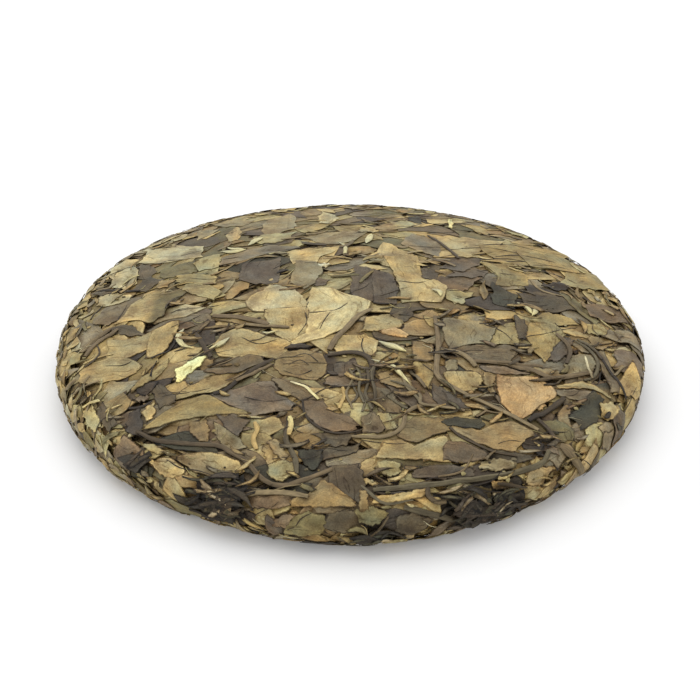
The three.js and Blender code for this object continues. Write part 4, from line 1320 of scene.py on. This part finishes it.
# %% Crumbs and hairs
CRUMBS = 2400          # places tried for a crumb
HAIRS = 240            # and for a hair
HAIR_COLOURS = ("straw", "khaki", "bone", "tan")
crumbs = Pile("crumbs")
for x, y in low_places(CRUMBS, outermost=121, depth=0.36) + charred_places(0.15):
    size = spread(0.35, 0.95)
    shape = CRUMB_BLANK.points * spread(0.7, 1.3, len(CRUMB_BLANK.points), 1)
    shape = shape * size * np.array([1, spread(0.5, 1), 0.5])
    lift = skin_bed.top(np.float64(x), np.float64(y), 0.1) + 0.25 * size
    flat = shape + np.array([x, y, lift])
    tints = np.tile(litter_tint(x, y, 1.0, 0.6), (len(flat), 1))
    crumbs.add(skin_bed, CRUMB_BLANK, flat, shape[:, :2], tints, np.ones(len(flat)))

hairs = Pile("hairs")
for x, y in low_places(HAIRS, outermost=119, depth=0.12):
    points = curved_way(x, y, lengths=(2.5, 8), astray=1.2)
    tint = TINTS[drawn(HAIR_COLOURS)] * spread(0.75, 1.05)
    lay_rod(skin_bed, hairs, HAIR_BLANK, points, spread(0.18, 0.36), (tint,), TAPERED, rise=0.2)
print(len(crumbs.copies), "crumbs and", len(hairs.copies), "hairs")

# %% [markdown]
# Everything is in the mould now, so the press closes. From here on the beds know what to take
# away from each height, and how much daylight reaches each spot.

# %% Closing the press
skin_bed.close()
base_bed.close()

# %% [markdown]
# ## The core
# Under the leaves that show, the cake is one dense mass of pressed leaf. Nobody sees more of it
# than the floor of the deepest gaps, so it is painted near black, as painted shade for those gaps,
# and a turned body is enough: the section of the mould, spun round the axis, and pressed by the same
# grid of heights. It reaches up between the lowest leaves, so that no light passes under a leaf that
# bridges others on the edge of the cake.

# %% Turning the core
CORE_STEPS = 100       # places from the crown to its foot
CORE_SIDES = 300
CORE_SHORT = 3         # its skin ends this far before the skin of the cake does
CORE_SHARE = 0.66      # how far up into the pile the dense mass reaches at most
CORE_SINK = 0.4        # it stays this far under the lowest top of the pile
CORE_REACH = 2.5       # within this reach
CORE_FOOT = 1.5        # the height of its flat base, over the leaves of the underside

turned = bmesh.new()
stations = np.linspace(0, SKIN_LENGTH - CORE_SHORT, CORE_STEPS)
profile = [turned.verts.new((distance, 0, 0)) for distance in stations]
lines = [turned.edges.new(pair) for pair in zip(profile, profile[1:])]
bmesh.ops.spin(turned, geom=profile + lines, cent=(0, 0, 0), axis=(0, 0, 1), dvec=(0, 0, 0),
               angle=2 * math.pi, steps=CORE_SIDES, use_merge=True, use_duplicate=False)
bmesh.ops.remove_doubles(turned, verts=turned.verts[:], dist=1e-3)
rim = [edge for edge in turned.edges if edge.is_boundary]
bottom = bmesh.ops.extrude_edge_only(turned, edges=rim)["geom"]
foot = [v for v in bottom if isinstance(v, bmesh.types.BMVert)]
bmesh.ops.contextual_create(turned, geom=[e for e in bottom if isinstance(e, bmesh.types.BMEdge)])
turned.verts.index_update()
is_foot = np.zeros(len(turned.verts), bool)
is_foot[[v.index for v in foot]] = True
bmesh.ops.recalc_face_normals(turned, faces=turned.faces[:])
x, y = np.array([v.co[:2] for v in turned.verts]).T
lift = np.minimum(CORE_SHARE * skin_bed.read(skin_bed.level, x, y),
                  skin_bed.read(lowest(skin_bed.field, CORE_REACH), x, y) - CORE_SINK)
core_points = skin_bed.wrap(x, y, skin_bed.pressed(x, y, lift))
core_points[is_foot, 2] = CORE_FOOT * MM
for vertex, point in zip(turned.verts, core_points):
    vertex.co = point
core_mesh = bpy.data.meshes.new("core")
bmesh.ops.triangulate(turned, faces=turned.faces[:])
turned.to_mesh(core_mesh)
turned.free()
core = bpy.data.objects.new("core", core_mesh)
bpy.context.scene.collection.objects.link(core)
print("core:", len(core_mesh.polygons), "triangles")

# %% [markdown]
# ## Finishes
# A dried leaf is matt to satin. Its colour wanders, faint veins run off from its rib, fine
# wrinkles run along it, and it is darker where it is torn, partly its own colour and partly painted
# shade of the gap beside the tear. All of that is worked out from noise and wave patterns: in space
# for what crosses leaves, and on the leaf's own map for what follows it. Nodes take many lines to
# add by hand, so a class gives each kind a short name.

# %% Building materials
GLOSS = 0.22           # specular level of dried leaf
DARK_WARMTH = (1.18, 0.94, 0.55)           # what a colour is multiplied by in deep shade


class Finish:
    """A material and short ways to add the nodes that it needs."""

    def __init__(self, name, roughness, gloss=GLOSS):
        self.material = bpy.data.materials.new(name)
        self.material.use_nodes = True
        self.tree = self.material.node_tree
        self.shader = self.tree.nodes["Principled BSDF"]
        self.shader.inputs["Roughness"].default_value = roughness
        self.shader.inputs["Specular IOR Level"].default_value = gloss

    def node(self, kind, inputs=(), **settings):
        """A new node: each of its inputs is a link from another node or a value."""
        made = self.tree.nodes.new(kind)
        for key, value in settings.items():
            setattr(made, key, value)
        for key, value in dict(inputs).items():
            if isinstance(value, bpy.types.NodeSocket):
                self.tree.links.new(value, made.inputs[key])
            else:
                made.inputs[key].default_value = value
        return made

    def space(self):
        """A place in space, in metres."""
        return self.node("ShaderNodeTexCoord").outputs["Object"]

    def own(self):
        """A place on the leaf or the rod, in millimetres."""
        return self.node("ShaderNodeUVMap", uv_map="Leaf").outputs["UV"]

    def attribute(self, name, output):
        """What the mesh's points carry under this name."""
        return self.node("ShaderNodeAttribute", attribute_name=name).outputs[output]

    def noise(self, where, scale, detail=3.0, rough=0.6):
        """Cloudy noise of this scale, with its finer detail."""
        inputs = {"Vector": where, "Scale": scale, "Detail": detail, "Roughness": rough}
        return self.node("ShaderNodeTexNoise", inputs).outputs["Fac"]

    def ramp(self, value, low, high, to_low, to_high):
        """Takes low and high to the other two values, and stays between those."""
        inputs = {"Value": value, "From Min": low, "From Max": high, "To Min": to_low, "To Max": to_high}
        return self.node("ShaderNodeMapRange", inputs).outputs["Result"]

    def math(self, operation, a, b=0.0):
        """One operation on two numbers."""
        return self.node("ShaderNodeMath", {0: a, 1: b}, operation=operation).outputs[0]

    def product(self, *factors):
        """All the factors multiplied."""
        result = factors[0]
        for factor in factors[1:]:
            result = self.math("MULTIPLY", result, factor)
        return result

    def swing(self, pattern, low, high, share):
        """A factor that the noise pattern moves from 1 + low to 1 + high, and less for a small share."""
        return self.math("ADD", 1.0, self.product(share, self.ramp(pattern, 0.34, 0.66, low, high)))

    def stretched(self, where, scale):
        """Places multiplied by this scale, so that a pattern is longer where it is small."""
        return self.node("ShaderNodeMapping", {"Vector": where, "Scale": scale}).outputs["Vector"]

    def scaled(self, colour, factor):
        """The colour times a number."""
        return self.node("ShaderNodeVectorMath", {0: colour, "Scale": factor}, operation="SCALE").outputs[0]

    def times(self, colour, factors):
        """The colour's red, green and blue times three numbers."""
        return self.node("ShaderNodeVectorMath", {0: colour, 1: factors}, operation="MULTIPLY").outputs[0]

    def mixed(self, factor, a, b):
        """Colour a where the factor is 0, and b where it is 1."""
        mix = self.node("ShaderNodeMix", {0: factor}, data_type="RGBA")
        for socket, value in ((mix.inputs[6], a), (mix.inputs[7], b)):
            if isinstance(value, bpy.types.NodeSocket):
                self.tree.links.new(value, socket)
            else:
                socket.default_value = (*value, 1)
        return mix.outputs[2]

    def painted(self, colour, tone):
        """Paints the colour times the tone, warmer where it is dark, as light between leaves is."""
        deep = self.ramp(tone, 0.15, 0.85, 1.0, 0.0)
        warmed = self.mixed(deep, colour, self.times(colour, DARK_WARMTH))
        self.set("Base Color", self.scaled(warmed, tone))

    def set(self, socket, value):
        """Links a value to one of the shader's sockets."""
        self.tree.links.new(value, self.shader.inputs[socket])

    def bump(self, height, distance, strength=1.0):
        """Raises the surface by the height, as far as this distance."""
        bump = self.node("ShaderNodeBump", {"Height": height, "Distance": distance, "Strength": strength})
        self.set("Normal", bump.outputs["Normal"])


# %% [markdown]
# A leaf's own marks come first, each as a pattern that is 1 along its lines and 0 between them:
# the rib with its slanting veins, the fine net between those, and thin creases. Its torn margin is
# darkest at the tear, partly the torn edge's own colour and partly painted shade of the gap beside
# it, and a little pale just inside it, which is a painted highlight where the edge catches the light.

# %% The marks on a leaf
VEIN_PACE = 1.05       # how closely the veins follow each other


def leaf_veins(leaf, own):
    """The rib, and veins that run off from it at a slant on both sides."""
    apart = leaf.node("ShaderNodeSeparateXYZ", {"Vector": own})
    away = leaf.math("ABSOLUTE", apart.outputs["Y"])
    wander = leaf.math("MULTIPLY", leaf.noise(own, 0.22, 3), 5)
    slant = leaf.math("ADD", leaf.math("SUBTRACT", apart.outputs["X"], away), wander)
    beat = leaf.math("ABSOLUTE", leaf.math("SINE", leaf.math("MULTIPLY", slant, VEIN_PACE)))
    vein = leaf.ramp(beat, 0.10, 0.0, 0.0, 1.0)
    rib = leaf.ramp(away, 0.45, 0.1, 0.0, 1.0)
    return leaf.math("MAXIMUM", vein, rib)


def leaf_net(leaf, own):
    """The net of the finest veins."""
    cells = leaf.node("ShaderNodeTexVoronoi", {"Vector": own, "Scale": 0.75}, feature="DISTANCE_TO_EDGE")
    return leaf.ramp(cells.outputs["Distance"], 0.10, 0.02, 0.0, 1.0)


def leaf_creases(leaf, own):
    """Thin creases, mostly along the leaf, on some parts of it only, painted dark as the shade in them."""
    fold = leaf.noise(leaf.stretched(own, (0.05, 0.16, 1)), 1.0, 2.5, 0.5)
    crease = leaf.ramp(leaf.math("ABSOLUTE", leaf.math("SUBTRACT", fold, 0.5)), 0.014, 0.004, 0.0, 1.0)
    return leaf.product(crease, leaf.ramp(leaf.noise(own, 0.13, 2), 0.46, 0.54, 0.0, 1.0))


def tear_shade_and_highlight(leaf, space, grain):
    """Two factors for the tone near a margin: the dark tear, broken in places, partly the edge's own colour
    and partly painted shade, and the pale band, a painted highlight.
    """
    inside = leaf.math("ADD", leaf.attribute("Margin", "Fac"), leaf.ramp(grain, 0.3, 0.7, -0.12, 0.12))
    broken = leaf.ramp(leaf.noise(space, 240, 2), 0.44, 0.56, 0.45, 1.0)
    # The tear: partly the torn edge's own colour, partly painted shade of the gap beside it.
    tear = leaf.math("SUBTRACT", leaf.ramp(inside, 0.12, 0.46, 0.1, 1.12), 1.0)
    tear = leaf.math("ADD", leaf.product(tear, broken), 1.0)
    # The pale band just inside is a painted highlight where the edge catches the light.
    return tear, leaf.ramp(inside, 0.45, 1.3, 1.13, 0.96)


# %% [markdown]
# The tone of a leaf is the product of all of these with three kinds of noise. Its hue swings
# between a warm and a cool one, with brown blotches. The far side of a cake is seen from further
# off and looks smoother, so the grain and the relief fade towards it.

# %% The leaf finish
FADE = (0.0, 0.08)     # the grain fades between these two places towards the back, in metres
WARM = (1.06, 1.0, 0.89)
COOL = (0.93, 1.0, 1.11)
BLOTCHED = (0.66, 0.60, 0.58)


def leaf_finish():
    """The two faces of a leaf."""
    leaf = Finish("dried leaf", 0.62)
    space, own = leaf.space(), leaf.own()
    depth = leaf.node("ShaderNodeSeparateXYZ", {"Vector": space}).outputs["Y"]
    near = leaf.ramp(depth, *FADE, 1.0, 0.45)
    # The broad cloud of tone is partly random colour and partly painted shade of soft folds.
    cloud_and_fold_shade = leaf.noise(space, 200, 5, 0.65)
    grain = leaf.noise(space, 2100, 3, 0.7)
    wrinkle = leaf.noise(leaf.stretched(own, (0.6, 1.0, 1)), 0.9, 5, 0.62)
    streak = leaf.noise(leaf.stretched(own, (0.14, 1.3, 1)), 1.0, 5, 0.7)
    fibrous = leaf.ramp(leaf.noise(own, 0.03, 1), 0.42, 0.58, 0.15, 1.0)
    net, veins, creases = leaf_net(leaf, own), leaf_veins(leaf, own), leaf_creases(leaf, own)

    tone = leaf.product(leaf.ramp(cloud_and_fold_shade, 0.34, 0.66, 0.76, 1.22), leaf.swing(grain, -0.21, 0.21, near),
                        leaf.ramp(wrinkle, 0.36, 0.64, 0.93, 1.06), leaf.ramp(net, 0, 1, 1.0, 0.90),
                        leaf.ramp(veins, 0, 1, 1.0, 0.88), leaf.ramp(creases, 0, 1, 1.0, 0.6),
                        leaf.swing(streak, -0.15, 0.16, fibrous), *tear_shade_and_highlight(leaf, space, grain),
                        leaf.attribute("Shade", "Fac"))

    tint = leaf.attribute("Tint", "Color")
    warmth = leaf.ramp(leaf.noise(space, 150, 3), 0.35, 0.65, 0.0, 1.0)
    blotch = leaf.ramp(leaf.noise(space, 110, 5, 0.6), 0.50, 0.62, 0.0, 0.8)
    colour = leaf.mixed(warmth, leaf.times(tint, COOL), leaf.times(tint, WARM))
    leaf.painted(leaf.mixed(blotch, colour, leaf.times(tint, BLOTCHED)), tone)

    height = leaf.math("MULTIPLY", wrinkle, 0.8)
    for pattern, high in ((grain, 0.35), (cloud_and_fold_shade, 1.2), (creases, -0.5),
                          (leaf.product(fibrous, streak), 0.5), (net, -0.06), (veins, 0.12)):
        height = leaf.math("ADD", height, leaf.math("MULTIPLY", pattern, high))
    leaf.bump(leaf.product(height, near), 0.4 * MM, 0.9)
    return leaf.material


def torn_edge_and_shade_finish():
    """The wall round a leaf: a dark torn edge, partly its own colour and partly painted shade of the gap
    under it.
    """
    torn = Finish("torn leaf edge and painted shade", 0.85)
    tone = torn.ramp(torn.noise(torn.space(), 700), 0.3, 0.7, 0.25, 0.85)
    torn.painted(torn.attribute("Tint", "Color"), tone)
    return torn.material


# %% [markdown]
# Stalks, twigs, buds and hairs have long fibres, so their noise is stretched along them. The down
# on a bud scatters light at a slant, which is what sheen does. Crumbs and the core are lumpy.

# %% The stalk, bud and crumb finishes
BUD_SHEEN = 0.25
BUD_SHEEN_ROUGHNESS = 0.4
# The core's near-black colours are painted shade for the bottom of the gaps.
CORE_DARK = (0.013, 0.009, 0.005)
CORE_LIGHT = (0.11, 0.072, 0.036)


def fibre_finish(name, fine, darkest, lightest):
    """Something with long fibres: a stalk, a twig, a bud or a hair."""
    stalk = Finish(name, 0.6)
    fibre = stalk.noise(stalk.stretched(stalk.own(), (0.18, fine, 1)), 1.0, 4, 0.7)
    tone = stalk.product(stalk.ramp(fibre, 0.3, 0.7, darkest, lightest),
                         stalk.ramp(stalk.noise(stalk.space(), 420, 3), 0.3, 0.7, 0.84, 1.14),
                         stalk.attribute("Shade", "Fac"))
    stalk.painted(stalk.attribute("Tint", "Color"), tone)
    stalk.bump(fibre, 0.3 * MM, 0.9)
    return stalk


def crumb_finish():
    """Loose crumb."""
    crumb = Finish("crumb", 0.85)
    lump = crumb.noise(crumb.space(), 900, 5, 0.7)
    tone = crumb.product(crumb.ramp(lump, 0.3, 0.7, 0.6, 1.3), crumb.attribute("Shade", "Fac"))
    crumb.painted(crumb.attribute("Tint", "Color"), tone)
    crumb.bump(lump, 0.5 * MM)
    return crumb.material


def core_finish():
    """The mass at the bottom of the gaps, painted near black as painted shade."""
    mass = Finish("pressed mass", 0.9)
    lump = mass.noise(mass.space(), 520, 6, 0.7)
    mass.set("Base Color", mass.mixed(mass.ramp(lump, 0.35, 0.7, 0, 1), CORE_DARK, CORE_LIGHT))
    mass.bump(lump, 1.2 * MM)
    return mass.material


LEAF = leaf_finish()
TORN_EDGE_AND_SHADE = torn_edge_and_shade_finish()
STALK = fibre_finish("stalk", 1.3, 0.5, 1.4).material
bud_finish = fibre_finish("silver bud", 2.2, 0.45, 1.3)
bud_finish.shader.inputs["Sheen Weight"].default_value = BUD_SHEEN
bud_finish.shader.inputs["Sheen Roughness"].default_value = BUD_SHEEN_ROUGHNESS
BUD = bud_finish.material
CRUMB = crumb_finish()
core.data.materials.append(core_finish())
print("finishes:", [made.name for made in (LEAF, TORN_EDGE_AND_SHADE, STALK, BUD, CRUMB, *core.data.materials)])

# %% [markdown]
# ## Wrapping the leaves round the cake
# The piles are still flat. Now each becomes a mesh: its heights are pressed, its points are
# wrapped on the skin, and its tints and shade become attributes. The whole cake is one body, so
# every piece rides on the root, and the core stands for the plain solid.

# %% Making the meshes
pieces = [core]
for pile in (scraps, torn_leaves, strips, shreds, broad_leaves):
    pieces.append(mesh_piece(pile.name, pile.arrays(), (LEAF, TORN_EDGE_AND_SHADE)))
for pile, finish in ((stalks, STALK), (twigs, STALK), (buds, BUD), (crumbs, CRUMB), (hairs, STALK)):
    pieces.append(mesh_piece(pile.name, pile.arrays(), (finish,)))
for piece in pieces:
    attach(piece, "root")
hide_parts("tea_cake")
print("all pieces:", sum(len(piece.data.polygons) for piece in pieces), "triangles")

# %% [markdown]
# ## Floor, light and camera
# The cake lies on a white sheet that glows a little by itself, as on a light table, so that it is
# just white in the open and its shadow stays pale and fades slowly. A white world lights
# everything evenly, and one wide lamp from above gives the leaves their form.

# %% The stage
FLOOR_SIDE = 6.0
SHEET_WHITE = 0.54     # how much of the light the sheet reflects
SHEET_GLOW = 0.12
SHEET_GLOSS = 0.1
WHITE = (1.0, 1.0, 1.0, 1)
WORLD_LIGHT = 1.3
LAMP_SIZE = 1.5
LAMP_POWER = 9.0
LAMP_PLACE = (-0.2, 0.2, 1.05)
LAMP_TILT = (-11, -10.6, 0)                # degrees, so that it faces the cake

sweep = bmesh.new()
bmesh.ops.create_grid(sweep, x_segments=1, y_segments=1, size=FLOOR_SIDE / 2)
floor_mesh = bpy.data.meshes.new("floor")
sweep.to_mesh(floor_mesh)
sweep.free()
floor = bpy.data.objects.new("floor", floor_mesh)
bpy.context.scene.collection.objects.link(floor)
paper = Finish("white sheet", 0.9, SHEET_GLOSS)
paper.shader.inputs["Base Color"].default_value = (SHEET_WHITE, SHEET_WHITE, SHEET_WHITE, 1)
paper.shader.inputs["Emission Color"].default_value = WHITE
paper.shader.inputs["Emission Strength"].default_value = SHEET_GLOW
floor_mesh.materials.append(paper.material)

world = bpy.data.worlds.new("studio")
world.use_nodes = True
world.node_tree.nodes["Background"].inputs["Color"].default_value = WHITE
world.node_tree.nodes["Background"].inputs["Strength"].default_value = WORLD_LIGHT
bpy.context.scene.world = world

lamp = bpy.data.lights.new("soft box", "AREA")
lamp.shape = "DISK"
lamp.size = LAMP_SIZE
lamp.energy = LAMP_POWER
lamp_holder = bpy.data.objects.new("soft box", lamp)
lamp_holder.location = LAMP_PLACE
lamp_holder.rotation_euler = [math.radians(degrees) for degrees in LAMP_TILT]
bpy.context.scene.collection.objects.link(lamp_holder)
print("the stage: a sheet, a white world and a lamp")

# %% [markdown]
# The camera looks down on the cake at the angle that makes a round cake as flat an oval as in a
# picture of the real one. It looks straight at the middle, so it needs no shift. The view
# transform is the plain one, which shows colours as they were chosen.

# %% The camera
CAMERA_ANGLE = 31.4    # degrees down from level
CAMERA_DISTANCE = 0.600
LOOK_AT = (0.0, 0.0007, 0.010)
LENS = 90.8
SENSOR_WIDTH = 36.0

camera = bpy.data.cameras.new("camera")
camera.lens = LENS
camera.sensor_width = SENSOR_WIDTH
camera_holder = bpy.data.objects.new("camera", camera)
angle = math.radians(CAMERA_ANGLE)
camera_holder.location = (LOOK_AT[0], LOOK_AT[1] - CAMERA_DISTANCE * math.cos(angle),
                          LOOK_AT[2] + CAMERA_DISTANCE * math.sin(angle))
camera_holder.rotation_euler = (math.pi / 2 - angle, 0, 0)
bpy.context.scene.collection.objects.link(camera_holder)
bpy.context.scene.camera = camera_holder
bpy.context.scene.view_settings.view_transform = "Standard"
print("the camera looks down by", CAMERA_ANGLE, "degrees")
